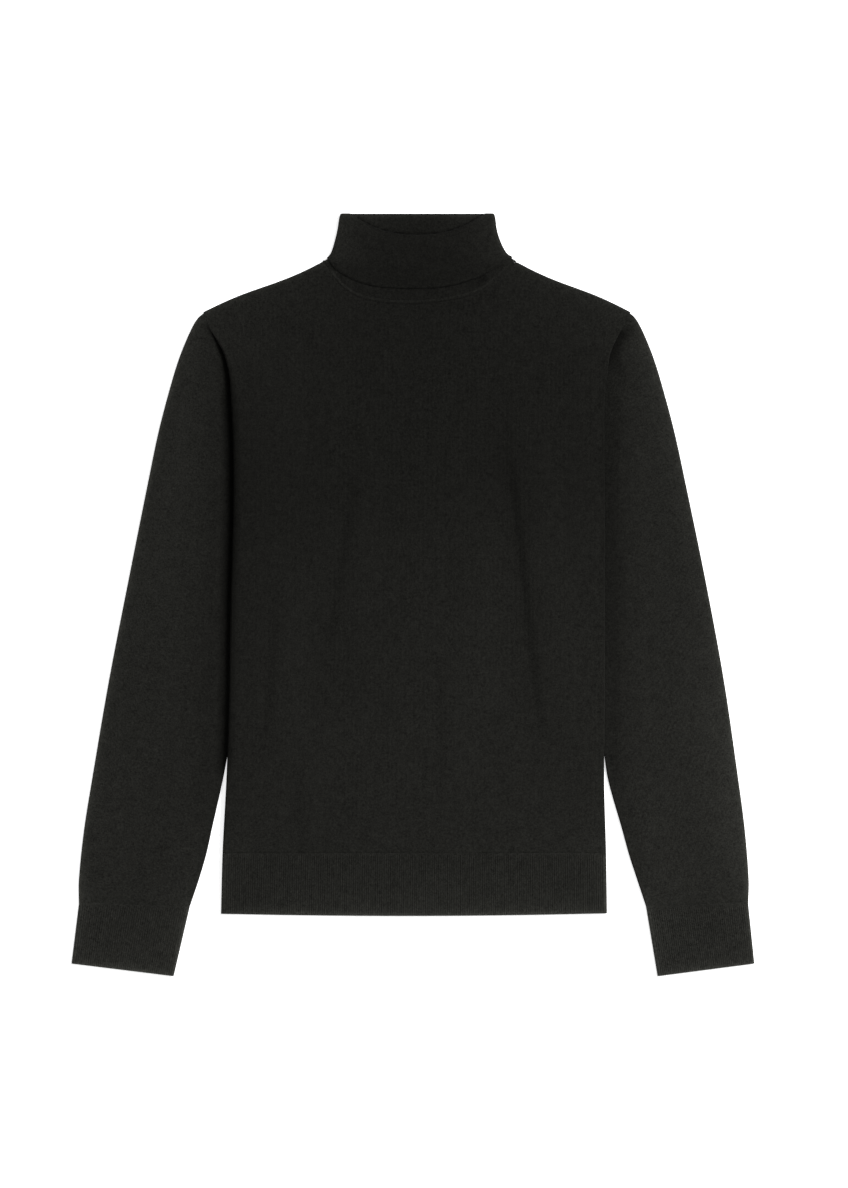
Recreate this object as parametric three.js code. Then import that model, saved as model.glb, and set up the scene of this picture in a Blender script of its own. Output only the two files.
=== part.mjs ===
// A fine-gauge turtleneck sweater laid out flat: front and back, two sleeves folded down beside and
// partly under the body, a collar turned down over itself, two ribbed cuffs and a ribbed hem.
// Millimetres. +Z is up from the surface it lies on, +Y runs towards the collar, and the origin is
// on that surface under the middle of the whole garment.
import * as THREE from "three";

// Driving sizes
const WALL = 1.5; // thickness of the knit
const GAP = 0.3; // clear distance between two layers, and between two pieces at a seam
const RIB_PITCH = 2.3; // one rib and the groove beside it
const RIB_RISE = 0.5; // height of a rib above its groove
const HEM_HEIGHT = 63;
const HEM_BOW = 2.8; // the hem's lower edge is this much lower at its middle
const HEM_JOIN_Y = -270;
const SHOULDER_Y = 295.5; // height of the shoulder points
const COLLAR_TOP_Y = 398.3; // the folded edge of the collar, level behind
const COLLAR_FRONT_DIP = 22.6; // how far its front hangs below that
const COLLAR_DIP_HALF_WIDTH = 68;
const TURNDOWN_BACK_Y = 343; // the turned-down edge behind, at its middle
const COLLAR_MIDDLE_X = 4.6;
const COLLAR_LOFT = 0.6; // how far the turned-down front stands off the stand

// How the two layers of a flat tube stack up: both walls and the gap between them.
const LAYERS = 2 * WALL + GAP;
const TURN_RADIUS = (WALL + GAP) / 2; // middle of the wall, where a flat tube folds at its edge
const LOW_Z = WALL / 2; // middle of a wall that lies on the surface
const TOP_Z = LOW_Z + WALL + GAP; // middle of a wall that lies on another wall

// The garment's centre line as it was laid: it wanders a few millimetres to the right of straight.
const CENTRE_LINE = [
  { y: -400, x: -0.2 },
  { y: -270, x: 1.2 },
  { y: -120, x: 3.3 },
  { y: 0, x: 4.2 },
  { y: 290, x: 3.8 },
  { y: 340, x: 6.7 },
  { y: 400, x: 4.4 },
];

// The body's two edges, from the hem up the side and round the armhole to the shoulder point.
const BODY_EDGE = [
  { y: -336, left: -200.8, right: 202.9 },
  { y: -270, left: -198.9, right: 201.8 },
  { y: -194, left: -195.0, right: 199.7 },
  { y: -117, left: -191.3, right: 200.4 },
  { y: -17, left: -189.3, right: 200.4 },
  { y: 81, left: -186.4, right: 200.4 },
  { y: 162, left: -186.7, right: 199.8 },
  { y: 212, left: -189.6, right: 200.4 },
  { y: 230, left: -191.7, right: 202.9 },
  { y: 251, left: -197.4, right: 206.0 },
  { y: 266, left: -205.2, right: 212.0 },
  { y: 277.5, left: -212.2, right: 218.6 },
  { y: SHOULDER_Y, left: -219.5, right: 227.8 },
];

// The neck, from the left neck point to the right one: the seam of the front, the seam of the back,
// and the front's turned-down edge.
const NECKLINE = [
  { x: -94.5, front: 348, back: 348, end: 353 },
  { x: -88.6, front: 342, back: 341, end: 350.5 },
  { x: -82.9, front: 332.5, back: 336, end: 342 },
  { x: -70.2, front: 319.5, back: 330.5, end: 332 },
  { x: -57.3, front: 312, back: 327.5, end: 326.5 },
  { x: -41, front: 307.2, back: 325.2, end: 322.6 },
  { x: -20, front: 304.9, back: 324.1, end: 320.6 },
  { x: 5, front: 304.5, back: 323.9, end: 320.1 },
  { x: 30, front: 307.1, back: 324.8, end: 321.1 },
  { x: 52, front: 311.1, back: 327.2, end: 325.4 },
  { x: 68, front: 316.8, back: 330.8, end: 331.2 },
  { x: 80, front: 324.6, back: 334.8, end: 337.2 },
  { x: 90, front: 333.6, back: 339.4, end: 343.6 },
  { x: 100.5, front: 344, back: 344.6, end: 350.6 },
  { x: 107.9, front: 348, back: 348, end: 353 },
];

// The two sides of the collar, from the neck points to its folded edge.
const COLLAR_SIDE = [
  { y: 348, left: -94.5, right: 107.9 },
  { y: 352.2, left: -90.7, right: 103.8 },
  { y: 358.4, left: -86.6, right: 97.0 },
  { y: 371, left: -82.4, right: 91.0 },
  { y: 383.6, left: -79.1, right: 87.0 },
  { y: 394, left: -77.2, right: 85.5 },
  { y: COLLAR_TOP_Y, left: -75.7, right: 84.0 },
];

// How far the sleeve reaches in under the body's edge. Negative: it stays that far outside.
const TUCK = [
  { y: -336, reach: -60 },
  { y: -270, reach: -23 },
  { y: -230, reach: -14 },
  { y: -194, reach: -5.5 },
  { y: -166, reach: 0 },
  { y: -130, reach: 8 },
  { y: -80, reach: 17 },
  { y: 0, reach: 22 },
  { y: 100, reach: 20 },
  { y: 190, reach: 15 },
  { y: 232, reach: 8 },
  { y: 250, reach: 2 },
  { y: 258, reach: -0.4 },
  { y: 268, reach: -0.7 },
  { y: 300, reach: -0.5 },
];
const LIFT = LAYERS + GAP; // the body is raised this much where it lies on a sleeve
const LIFT_HOLD = 6; // it stays raised this far past the sleeve
const LIFT_RAMP = 26; // and then comes down to the surface over this distance
const LIFT_FROM_Y = 280; // the body starts to climb onto the sleeve here, near the shoulder point
const LIFT_FULL_Y = 256;

// The edge of the front rolls down round the edge of the back.
const ROLL_RADIUS = 1.65;
const ROLL_TAIL = 0.6; // and goes on this far straight down

// Where the columns and the rows of the body panels are: distances inside the edge, and shares of
// the way from the hem to the top, closer together where the armhole curves.
const COLUMN_INSETS = [9, 17, 24, 30, 37, 46, 62, 82, 102];
const PANEL_ROWS = [
  0, 0.08, 0.16, 0.24, 0.32, 0.4, 0.48, 0.56, 0.64, 0.72, 0.8, 0.85, 0.885, 0.91, 0.935, 0.957, 0.978, 1,
];

// The sleeve's outer fold, from the cuff's seam up to near the shoulder point, off the centre line.
const SLEEVE_OUTER = [
  { off: 350.0, y: -322 },
  { off: 350.2, y: -298 },
  { off: 345.5, y: -246 },
  { off: 338.0, y: -194 },
  { off: 321.4, y: -89 },
  { off: 301.7, y: 15 },
  { off: 280.4, y: 120 },
  { off: 269.3, y: 172 },
  { off: 255.4, y: 224 },
  { off: 246.9, y: 250.5 },
  { off: 235.9, y: 276.7 },
  { off: 228.4, y: 289.5 },
];

// The part of its inner fold that shows, from the cuff's seam up to where the body hides it.
const SLEEVE_INNER = [
  { off: 236.5, y: -327 },
  { off: 229.3, y: -299 },
  { off: 221.1, y: -272 },
  { off: 214.6, y: -246 },
  { off: 201.7, y: -194 },
];
const SLEEVE_SHARES = [0, 0.14, 0.3, 0.46, 0.6, 0.72, 0.82, 0.91, 1]; // columns, inner to outer fold
const HIDDEN_INNER_Y = [-160, -120, -70, 0, 70, 120, 150]; // then it follows TUCK at these heights
const ARMHOLE_Y = [150, 180, 205, 225, 240, 250, 258, 268, 280, SHOULDER_Y];

// The cuff's four corners, off the centre line.
const CUFF = {
  joinInner: { off: 236.4, y: -327.3 },
  joinOuter: { off: 349.8, y: -322.3 },
  endInner: { off: 252.6, y: -398.3 },
  endOuter: { off: 357.0, y: -385.0 },
};
const CUFF_RIBS = 48;

// Ridges in the front and in the sleeves' upper walls: each runs from one end to the other.
const FRONT_RIDGES = [
  { x1: 103, y1: 150, x2: 128, y2: -95, width: 24, height: 3.2 },
  { x1: -48, y1: 150, x2: -80, y2: -60, width: 26, height: 2.6 },
  { x1: -118, y1: 40, x2: -142, y2: -150, width: 22, height: 2.2 },
  { x1: -112, y1: -150, x2: -118, y2: -262, width: 24, height: 1.8 },
  { x1: 34, y1: -60, x2: 34, y2: -240, width: 26, height: 1.6 },
  { x1: 150, y1: 190, x2: 172, y2: -140, width: 20, height: 1.6 },
  { x1: -20, y1: 60, x2: -14, y2: -150, width: 26, height: 1.2 },
];
const SLEEVE_RIDGES = [
  { x1: 250, y1: 215, x2: 292, y2: -20, width: 26, height: 2.2 },
  { x1: 262, y1: 20, x2: 290, y2: -230, width: 30, height: 2.4 },
  { x1: 305, y1: -150, x2: 318, y2: -310, width: 24, height: 1.6 },
];

const clamp = THREE.MathUtils.clamp;
const mix = THREE.MathUtils.lerp;
const ease = THREE.MathUtils.smoothstep; // (value, low, high): 0 below low, 1 above high

// A smooth curve through one column of a table, as a function of another column that increases.
function columnOf(rows, from, to) {
  const slope = (i, j) => (rows[j][to] - rows[i][to]) / (rows[j][from] - rows[i][from]);
  const tangent = rows.map((_, i) => slope(Math.max(i - 1, 0), Math.min(i + 1, rows.length - 1)));
  return (value) => {
    const at = clamp(value, rows[0][from], rows.at(-1)[from]);
    const i = clamp(rows.findIndex((row) => row[from] >= at) - 1, 0, rows.length - 2);
    const span = rows[i + 1][from] - rows[i][from];
    const t = (at - rows[i][from]) / span;
    const start = rows[i][to] * (2 * t ** 3 - 3 * t ** 2 + 1) + tangent[i] * span * (t ** 3 - 2 * t ** 2 + t);
    const end = rows[i + 1][to] * (3 * t ** 2 - 2 * t ** 3) + tangent[i + 1] * span * (t ** 3 - t ** 2);
    return start + end;
  };
}

// The same, by straight lines.
function linesOf(rows, from, to) {
  return (value) => {
    const i = clamp(rows.findIndex((row) => row[from] >= value) - 1, 0, rows.length - 2);
    const share = (value - rows[i][from]) / (rows[i + 1][from] - rows[i][from]);
    return mix(rows[i][to], rows[i + 1][to], clamp(share, 0, 1));
  };
}

const centreAt = columnOf(CENTRE_LINE, "y", "x");
const leftAt = columnOf(BODY_EDGE, "y", "left");
const rightAt = columnOf(BODY_EDGE, "y", "right");
const tuckAt = columnOf(TUCK, "y", "reach");
const edgeAt = (side, y) => (side < 0 ? leftAt(y) : rightAt(y));

const range = (count) => Array.from({ length: count }, (_, i) => i);
const steps = (from, to, count) => range(count + 1).map((i) => mix(from, to, i / count));

// A closed surface, gathered from grids of points and the strips that join their edges.
class Skin {
  points = [];
  triangles = [];

  // Each row is a list of points. Returns the same rows as indices.
  grid(rows, { closed = false, reversed = false } = {}) {
    const indexed = rows.map((row) => row.map((point) => this.points.push(point) - 1));
    const count = rows[0].length;
    for (let r = 0; r + 1 < rows.length; r++) {
      for (let c = 0; c < (closed ? count : count - 1); c++) {
        const d = (c + 1) % count;
        const [a, b, e, f] = [indexed[r][c], indexed[r][d], indexed[r + 1][d], indexed[r + 1][c]];
        this.triangles.push(...(reversed ? [a, e, b, a, f, e] : [a, b, e, a, e, f]));
      }
    }
    return indexed;
  }

  // Joins two lines of points, which may differ in how many they have, by their share of length.
  strip(first, second) {
    const shares = [first, second].map((line) => {
      const along = [0];
      for (let i = 1; i < line.length; i++) {
        along.push(along[i - 1] + this.points[line[i]].distanceTo(this.points[line[i - 1]]));
      }
      return along.map((length) => length / along.at(-1));
    });
    let [i, j] = [0, 0];
    while (i + 1 < first.length || j + 1 < second.length) {
      const firstNext = i + 1 < first.length ? shares[0][i + 1] : Infinity;
      const secondNext = j + 1 < second.length ? shares[1][j + 1] : Infinity;
      if (firstNext <= secondNext) {
        this.triangles.push(first[i], second[j], first[i + 1]);
        i += 1;
      } else {
        this.triangles.push(first[i], second[j], second[j + 1]);
        j += 1;
      }
    }
  }

  volume() {
    let sum = 0;
    for (let i = 0; i < this.triangles.length; i += 3) {
      const [a, b, c] = this.triangles.slice(i, i + 3).map((index) => this.points[index]);
      sum += a.dot(b.clone().cross(c)) / 6;
    }
    return sum;
  }

  mesh(name, material) {
    if (this.volume() < 0) this.triangles.reverse();
    const geometry = new THREE.BufferGeometry().setFromPoints(this.points);
    geometry.setIndex(this.triangles);
    geometry.computeVertexNormals();
    const mesh = new THREE.Mesh(geometry, material);
    mesh.name = name;
    return mesh;
  }
}

// A flat piece of cloth: its upper and its lower face, as rows of points, and its four edges.
function sheet(name, material, upper, lower) {
  const skin = new Skin();
  const up = skin.grid(upper);
  const low = skin.grid(lower, { reversed: true });
  const column = (rows, i) => rows.map((row) => row.at(i));
  skin.strip(up[0], low[0]);
  skin.strip(low.at(-1), up.at(-1));
  skin.strip(column(low, 0), column(up, 0));
  skin.strip(column(up, -1), column(low, -1));
  return skin.mesh(name, material);
}

// A tube of cloth: its outside and its inside, as rings of points, and its two open ends.
function tube(name, material, outside, inside) {
  const skin = new Skin();
  const out = skin.grid(outside, { closed: true });
  const within = skin.grid(inside, { closed: true, reversed: true });
  const around = (ring) => [...ring, ring[0]];
  skin.strip(around(out[0]), around(within[0]));
  skin.strip(around(within.at(-1)), around(out.at(-1)));
  return skin.mesh(name, material);
}

// How high a set of ridges stands at a place: each swells and fades along its own line.
function ridgeHeight(ridges, x, y) {
  let sum = 0;
  for (const { x1, y1, x2, y2, width, height } of ridges) {
    const length = Math.hypot(x2 - x1, y2 - y1);
    const along = ((x - x1) * (x2 - x1) + (y - y1) * (y2 - y1)) / length ** 2;
    const away = Math.abs((x - x1) * (y2 - y1) - (y - y1) * (x2 - x1)) / length;
    const across = clamp(away / width, 0, 1);
    sum += height * Math.sin(Math.PI * clamp(along, 0, 1)) * (1 - across ** 2) ** 2;
  }
  return sum;
}

// How far the body is raised by the sleeves that it lies on.
function liftAt(x, y) {
  const near = (side) => {
    const inside = side * (edgeAt(side, y) - x) - tuckAt(y);
    return 1 - ease(inside, LIFT_HOLD, LIFT_HOLD + LIFT_RAMP);
  };
  const climbed = 1 - ease(y, LIFT_FULL_Y, LIFT_FROM_Y);
  return LIFT * climbed * Math.max(near(-1), near(1));
}

const NECK_LEFT = NECKLINE[0];
const NECK_RIGHT = NECKLINE.at(-1);
const neckSeam = {
  front: linesOf(NECKLINE, "x", "front"),
  back: linesOf(NECKLINE, "x", "back"),
};
const outsideNeck = (x) => Math.max(NECK_LEFT.x - x, x - NECK_RIGHT.x);

// The upper end of a body panel at a place across: the neckline between the neck points, and the
// straight shoulders beside it.
function topEdge(x, panel) {
  if (outsideNeck(x) <= 0) return neckSeam[panel](x);
  const [neck, side] = x < 0 ? [NECK_LEFT, -1] : [NECK_RIGHT, 1];
  return mix(neck[panel], SHOULDER_Y, (x - neck.x) / (edgeAt(side, SHOULDER_Y) - neck.x));
}

// Stations across the front's rolled edge, from its end under the fold to the flat of the panel.
const ROLL_DEPTH = WALL / 2 + ROLL_RADIUS;
const ROLL = [
  { inset: WALL / 2, drop: ROLL_RADIUS + ROLL_TAIL, angle: 0 },
  ...steps(0, Math.PI / 2, 3).map((angle) => ({
    inset: WALL / 2 + ROLL_RADIUS * (1 - Math.cos(angle)),
    drop: ROLL_RADIUS * (1 - Math.sin(angle)),
    angle,
  })),
].map((station, index) => ({ ...station, plain: mix(GAP / 2, ROLL_DEPTH, index / 4) }));

// A station on an edge that is rolled under (weight 1), cut off plainly (0) or in between.
function rolled({ inset, drop, angle, plain }, weight) {
  return {
    inset: mix(plain, inset, weight),
    drop: drop * weight,
    out: Math.cos(angle) * weight,
    up: mix(1, Math.sin(angle), weight),
  };
}

const LEVEL = { inset: ROLL_DEPTH, drop: 0, out: 0, up: 1 };

// How fully a panel's side edge and its upper edge are rolled under.
const sideWeight = (y) => 1 - ease(y, LIFT_FULL_Y, LIFT_FROM_Y);
const topWeight = (x) => ease(outsideNeck(x), 0, 14);

// Columns across a body panel. Beside each edge they keep their distance from it; those in the
// middle run up to the rows of the neckline.
const BESIDE = COLUMN_INSETS.map((inset) => ({ inset }));
const MIDDLE = NECKLINE.map(({ x }) => {
  const [left, right] = [leftAt(SHOULDER_Y), rightAt(SHOULDER_Y)];
  return { share: (x - left) / (right - left) };
});
const bothSides = (columns, middle) => [
  ...columns.map((column) => ({ ...column, side: -1 })),
  ...middle,
  ...columns.map((column) => ({ ...column, side: 1 })).reverse(),
];
const FRONT_COLUMNS = bothSides([...ROLL.map((station) => ({ station })), ...BESIDE], MIDDLE);
const BACK_COLUMNS = bothSides([{ inset: ROLL_DEPTH, edge: true }, ...BESIDE], MIDDLE);

// Where a column is at a height, and how it is rolled there.
function placeAcross({ side = 0, share, inset, station, edge }, y, weight) {
  if (!side) return { x: mix(leftAt(y), rightAt(y), share), side, roll: LEVEL };
  const roll = station ? rolled(station, weight) : LEVEL;
  const within = station ? roll.inset : edge ? mix(GAP / 2, inset, weight) : inset;
  return { x: edgeAt(side, y) - side * within, side, roll };
}

const frontZ = (x, y) => TOP_Z + liftAt(x, y) + ridgeHeight(FRONT_RIDGES, x, y);
const SLANT = 1.08; // a slanting shoulder makes its edge's depth this much longer along Y

// One face of the front, from the hem's seam to the shoulders and the neckline.
function frontFace(face) {
  const rows = [
    ...PANEL_ROWS.slice(0, -1).map((share) => ({ share })),
    ...[...ROLL].reverse().map((station) => ({ share: 1, station })),
  ];
  return rows.map(({ share, station }) =>
    FRONT_COLUMNS.map((column) => {
      const topX = placeAcross(column, SHOULDER_Y, 0).x;
      const upper = station ? rolled(station, topWeight(topX)) : LEVEL;
      const level = mix(HEM_JOIN_Y + GAP / 2, topEdge(topX, "front") - ROLL_DEPTH * SLANT, share);
      const y = level + (ROLL_DEPTH - upper.inset) * SLANT;
      const { x, side, roll } = placeAcross(column, y, sideWeight(y));
      const point = new THREE.Vector3(x, y, frontZ(x, y) - roll.drop - upper.drop);
      const normal = new THREE.Vector3(side * roll.out, upper.out, roll.up * upper.up).normalize();
      return point.addScaledVector(normal, (face * WALL) / 2);
    }),
  );
}

const front = (material) => sheet("front", material, frontFace(1), frontFace(-1));

// One face of the back. Its edges stay inside the front's, which roll round them.
function backFace(face) {
  return PANEL_ROWS.map((share) =>
    BACK_COLUMNS.map((column) => {
      const topX = placeAcross(column, SHOULDER_Y, 0).x;
      const depth = (outsideNeck(topX) > -1 ? ROLL_DEPTH : GAP / 2) * SLANT;
      const y = mix(HEM_JOIN_Y + GAP / 2, topEdge(topX, "back") - depth, share);
      const { x } = placeAcross(column, y, 1 - ease(y, LIFT_FROM_Y, SHOULDER_Y));
      return new THREE.Vector3(x, y, LOW_Z + liftAt(x, y) + (face * WALL) / 2);
    }),
  );
}

const back = (material) => sheet("back", material, backFace(1), backFace(-1));

// The hem's lower edge: a little lower at its middle.
const hemEnd = (share) => HEM_JOIN_Y - HEM_HEIGHT - HEM_BOW * (1 - (2 * share - 1) ** 2);
const hemShare = ({ side, share }) => share ?? (side + 1) / 2;

// One face of the front half of the hem. The outer face has a rib over every other column.
function hemFrontFace(count, face) {
  const middle = steps(0, 1, count).map((share, index) => ({ share, rib: index % 2 }));
  const columns = bothSides(ROLL.map((station) => ({ station })), middle.slice(1, -1));
  return steps(0, 1, 2).map((row) =>
    columns.map((column) => {
      const y = mix(hemEnd(hemShare(column)), HEM_JOIN_Y - GAP / 2, row);
      const { x, side, roll } = placeAcross(column, y, 1);
      const rise = face > 0 && column.rib ? RIB_RISE : 0;
      const point = new THREE.Vector3(x, y, frontZ(x, y) - roll.drop);
      const normal = new THREE.Vector3(side * roll.out, 0, roll.up).normalize();
      return point.addScaledVector(normal, (face * WALL) / 2 + rise);
    }),
  );
}

function hemFront(material) {
  const ribs = Math.round((rightAt(HEM_JOIN_Y) - leftAt(HEM_JOIN_Y)) / RIB_PITCH);
  return sheet("hem_front", material, hemFrontFace(2 * ribs, 1), hemFrontFace(20, -1));
}

function hemBack(material) {
  const middle = steps(0, 1, 12).slice(1, -1).map((share) => ({ share }));
  const columns = bothSides([{ inset: ROLL_DEPTH }], middle);
  const face = (way) =>
    steps(0, 1, 2).map((row) =>
      columns.map((column) => {
        const y = mix(hemEnd(hemShare(column)), HEM_JOIN_Y - GAP / 2, row);
        const { x } = placeAcross(column, y, 1);
        return new THREE.Vector3(x, y, LOW_Z + liftAt(x, y) + (way * WALL) / 2);
      }),
    );
  return sheet("hem_back", material, face(1), face(-1));
}

// Stations round a flat tube: up round its first edge, across the top, down round its second edge
// and back across the bottom. The shares across are given for the top and for the bottom.
function ringStations(top, bottom, turn = 3) {
  const bend = (share, from) =>
    range(turn).map((i) => {
      const angle = from - (Math.PI * (i + 1)) / (turn + 1);
      return { share, out: Math.cos(angle), up: Math.sin(angle), rib: 0 };
    });
  return [
    ...bend(0, 1.5 * Math.PI),
    ...top.map((share, i) => ({ share, out: 0, up: 1, rib: i % 2 })),
    ...bend(1, 0.5 * Math.PI),
    ...[...bottom].reverse().map((share) => ({ share, out: 0, up: -1, rib: 0 })),
  ];
}

// One ring of a flat tube whose edge-to-edge line is given by a function of the share across.
function flatRing(stations, face, { place, width, loft, rib = 0 }) {
  const radius = TURN_RADIUS + (face * WALL) / 2;
  const edge = TURN_RADIUS + WALL / 2;
  return stations.map((station) => {
    const rise = station.rib * rib;
    const across = mix(edge, width - edge, station.share) + radius * station.out;
    const { x, y } = place(across / width);
    const raised = station.up > 0 ? loft(x, y) * station.up + rise : 0;
    return new THREE.Vector3(x, y, LOW_Z + TURN_RADIUS + radius * station.up + raised);
  });
}

const offCentre = (side, { off, y }) => new THREE.Vector2(side * off + centreAt(y), y);
const underBody = (side, y) => new THREE.Vector2(edgeAt(side, y) - side * tuckAt(y), y);

// A place on the sleeve's plan: share 0 to 1 from its inner to its outer fold, and along 0 to 1
// from the cuff's seam to the armhole. The four borders are blended.
function sleevePlan(side) {
  const inner = new THREE.SplineCurve([
    ...SLEEVE_INNER.map((row) => offCentre(side, row)),
    ...HIDDEN_INNER_Y.map((y) => underBody(side, y)),
  ]);
  const outer = new THREE.SplineCurve([
    ...SLEEVE_OUTER.map((row) => offCentre(side, row)),
    underBody(side, SHOULDER_Y),
  ]);
  const armhole = new THREE.SplineCurve(ARMHOLE_Y.map((y) => underBody(side, y)));
  const low = [inner.getPointAt(0), outer.getPointAt(0)];
  const high = [inner.getPointAt(1), outer.getPointAt(1)];
  return (share, along) => {
    const [start, end] = [inner.getPointAt(along), outer.getPointAt(along)];
    const hole = armhole.getPointAt(clamp(share, 0, 1));
    const blend = (axis) =>
      mix(start[axis], end[axis], share) +
      mix(mix(low[0][axis], low[1][axis], share), hole[axis], along) -
      mix(mix(low[0][axis], low[1][axis], share), mix(high[0][axis], high[1][axis], share), along);
    return { x: blend("x"), y: blend("y") };
  };
}

// The sleeve's upper wall swells outside the body's edge, and lies flat under it and at its ends.
function sleeveLoft(side, along) {
  return (x, y) => {
    const outside = side * (x - edgeAt(side, y));
    const clear = ease(outside, 3, 22) * ease(along, 0, 0.08) * (1 - ease(along, 0.88, 1));
    return clear * ridgeHeight(SLEEVE_RIDGES, side * (x - centreAt(y)), y);
  };
}

function sleeve(name, side, material) {
  const plan = sleevePlan(side);
  const stations = ringStations(SLEEVE_SHARES, SLEEVE_SHARES);
  const rings = (face) =>
    steps(0, 1, 15).map((along) => {
      const [start, end] = [plan(0, along), plan(1, along)];
      return flatRing(stations, face, {
        place: (share) => plan(share, along),
        width: Math.hypot(end.x - start.x, end.y - start.y),
        loft: sleeveLoft(side, along),
      });
    });
  return tube(name, material, rings(1), rings(-1));
}

function cuff(name, side, material) {
  const corner = (key) => offCentre(side, CUFF[key]);
  const ends = [
    [corner("endInner"), corner("endOuter")],
    [corner("joinInner"), corner("joinOuter")],
  ];
  const rings = (stations, face) =>
    steps(0, 1, 2).map((along) => {
      const start = ends[0][0].clone().lerp(ends[1][0], along);
      const end = ends[0][1].clone().lerp(ends[1][1], along);
      return flatRing(stations, face, {
        place: (share) => start.clone().lerp(end, share),
        width: start.distanceTo(end),
        loft: () => 0,
        rib: face > 0 ? RIB_RISE : 0,
      });
    });
  const flat = steps(0, 1, 4);
  const ribbed = ringStations(steps(0, 1, 2 * CUFF_RIBS), flat);
  const plain = ringStations(flat, flat);
  return tube(name, material, rings(ribbed, 1), rings(plain, -1));
}

// The collar's folded edge: level behind (frontness 0), hanging in front (1).
function collarTop(x, frontness) {
  const across = Math.abs(x - COLLAR_MIDDLE_X) / COLLAR_DIP_HALF_WIDTH;
  return COLLAR_TOP_Y - COLLAR_FRONT_DIP * frontness * (1 - Math.min(1, across) ** 2.3);
}

// Its turned-down edge behind, which lies on the surface under everything else.
function backEnd(x) {
  const across = (2 * (x - COLLAR_MIDDLE_X)) / (NECK_RIGHT.x - NECK_LEFT.x);
  return TURNDOWN_BACK_Y + 10 * Math.abs(across) ** 2.5;
}

const frontEnd = linesOf(NECKLINE, "x", "end");
const collarLeft = columnOf(COLLAR_SIDE, "y", "left");
const collarRight = columnOf(COLLAR_SIDE, "y", "right");

// From its seam the collar climbs onto its own turned-down back: this is where, at a place across.
const climbStart = (x) => neckSeam.back(x) + 1;
const climbEnd = (x) => backEnd(x) - 0.8;
const OUTER_RADIUS = TURN_RADIUS + WALL / 2; // outside of a flat tube's fold
const TURNED_OUT = WALL + GAP; // how far outside the stand the turned-down part lies

// The middle height of the neck's opening at a place.
function neckLevel(x, y) {
  const climbed = clamp((y - climbStart(x)) / (climbEnd(x) - climbStart(x)), 0, 1);
  return LOW_Z + TURN_RADIUS + TURNED_OUT * climbed;
}

// Stations up the stand, over the fold and down the turned-down part.
const COLLAR_STRIPS = [
  { part: "stand", at: "seam" },
  ...steps(0, 1, 2).map((climb) => ({ part: "stand", at: "climb", climb })),
  ...[0.4, 1].map((rest) => ({ part: "stand", at: "rest", rest })),
  ...[0.25, 0.5, 0.75].map((turn) => ({ part: "fold", turn })),
  ...steps(0, 1, 6).map((down) => ({ part: "turned", down })),
];

// How far up (Y) a station is, for the wall in front (frontness 1) or behind (0).
function collarHeight(strip, x, frontness) {
  const top = collarTop(x, frontness) - OUTER_RADIUS;
  const seam = mix(neckSeam.back(x), neckSeam.front(x), frontness) + GAP * 0.8;
  if (strip.part === "turned") return mix(top, mix(backEnd(x), frontEnd(x), frontness), strip.down);
  if (strip.part === "fold") return top;
  if (strip.at === "seam") return seam;
  if (strip.at === "climb") return mix(climbStart(x), climbEnd(x), strip.climb);
  return mix(climbEnd(x), top, strip.rest);
}

function collarPoint(around, strip, face) {
  const angle = { stand: 0, fold: Math.PI * strip.turn, turned: Math.PI }[strip.part];
  const middle = (TURNED_OUT / 2) * (1 - Math.cos(angle));
  const radius = TURN_RADIUS + middle - (face * Math.cos(angle) * WALL) / 2;
  const frontness = (1 + around.up) / 2;
  const widest = mix(NECK_LEFT.x + OUTER_RADIUS, NECK_RIGHT.x - OUTER_RADIUS, around.share);
  const base = collarHeight(strip, widest, frontness);
  const edge = OUTER_RADIUS + TURNED_OUT * ease(base, COLLAR_SIDE[0].y, COLLAR_SIDE[1].y);
  const flat = mix(collarLeft(base) + edge, collarRight(base) - edge, around.share);
  const x = flat + radius * around.out;
  const y = collarHeight(strip, x, frontness) + Math.sin(angle) * (TURN_RADIUS + (face * WALL) / 2);
  const loft = strip.part === "turned" ? COLLAR_LOFT * Math.sin(Math.PI * Math.min(strip.down, 0.8)) : 0;
  return new THREE.Vector3(x, y, neckLevel(x, y) + radius * around.up + loft * frontness);
}

function collar(material) {
  const width = NECK_RIGHT.x - NECK_LEFT.x - 2 * OUTER_RADIUS;
  const shares = NECKLINE.slice(1, -1).map(({ x }) => (x - NECK_LEFT.x - OUTER_RADIUS) / width);
  const stations = ringStations([0, ...shares, 1], [0, ...shares, 1]);
  const rings = (face) =>
    COLLAR_STRIPS.map((strip) => stations.map((around) => collarPoint(around, strip, face)));
  return tube("collar", material, rings(1), rings(-1));
}

const knit = () => new THREE.MeshStandardMaterial({ color: 0x1f1f1d, roughness: 0.95, metalness: 0 });
const ribKnit = () => new THREE.MeshStandardMaterial({ color: 0x232321, roughness: 0.95, metalness: 0 });

const sweater = new THREE.Group();
sweater.add(
  back(knit()),
  front(knit()),
  hemBack(ribKnit()),
  hemFront(ribKnit()),
  sleeve("sleeve_left", -1, knit()),
  sleeve("sleeve_right", 1, knit()),
  cuff("cuff_left", -1, ribKnit()),
  cuff("cuff_right", 1, ribKnit()),
  collar(knit()),
);

export default sweater;
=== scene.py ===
# A black fine-gauge turtleneck sweater, laid out flat and seen from straight above.
# The cloth is built in millimetres in the part's own frame and turned into metres as each mesh is
# made: +Z is up from the surface, +Y runs towards the collar.
import math

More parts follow.
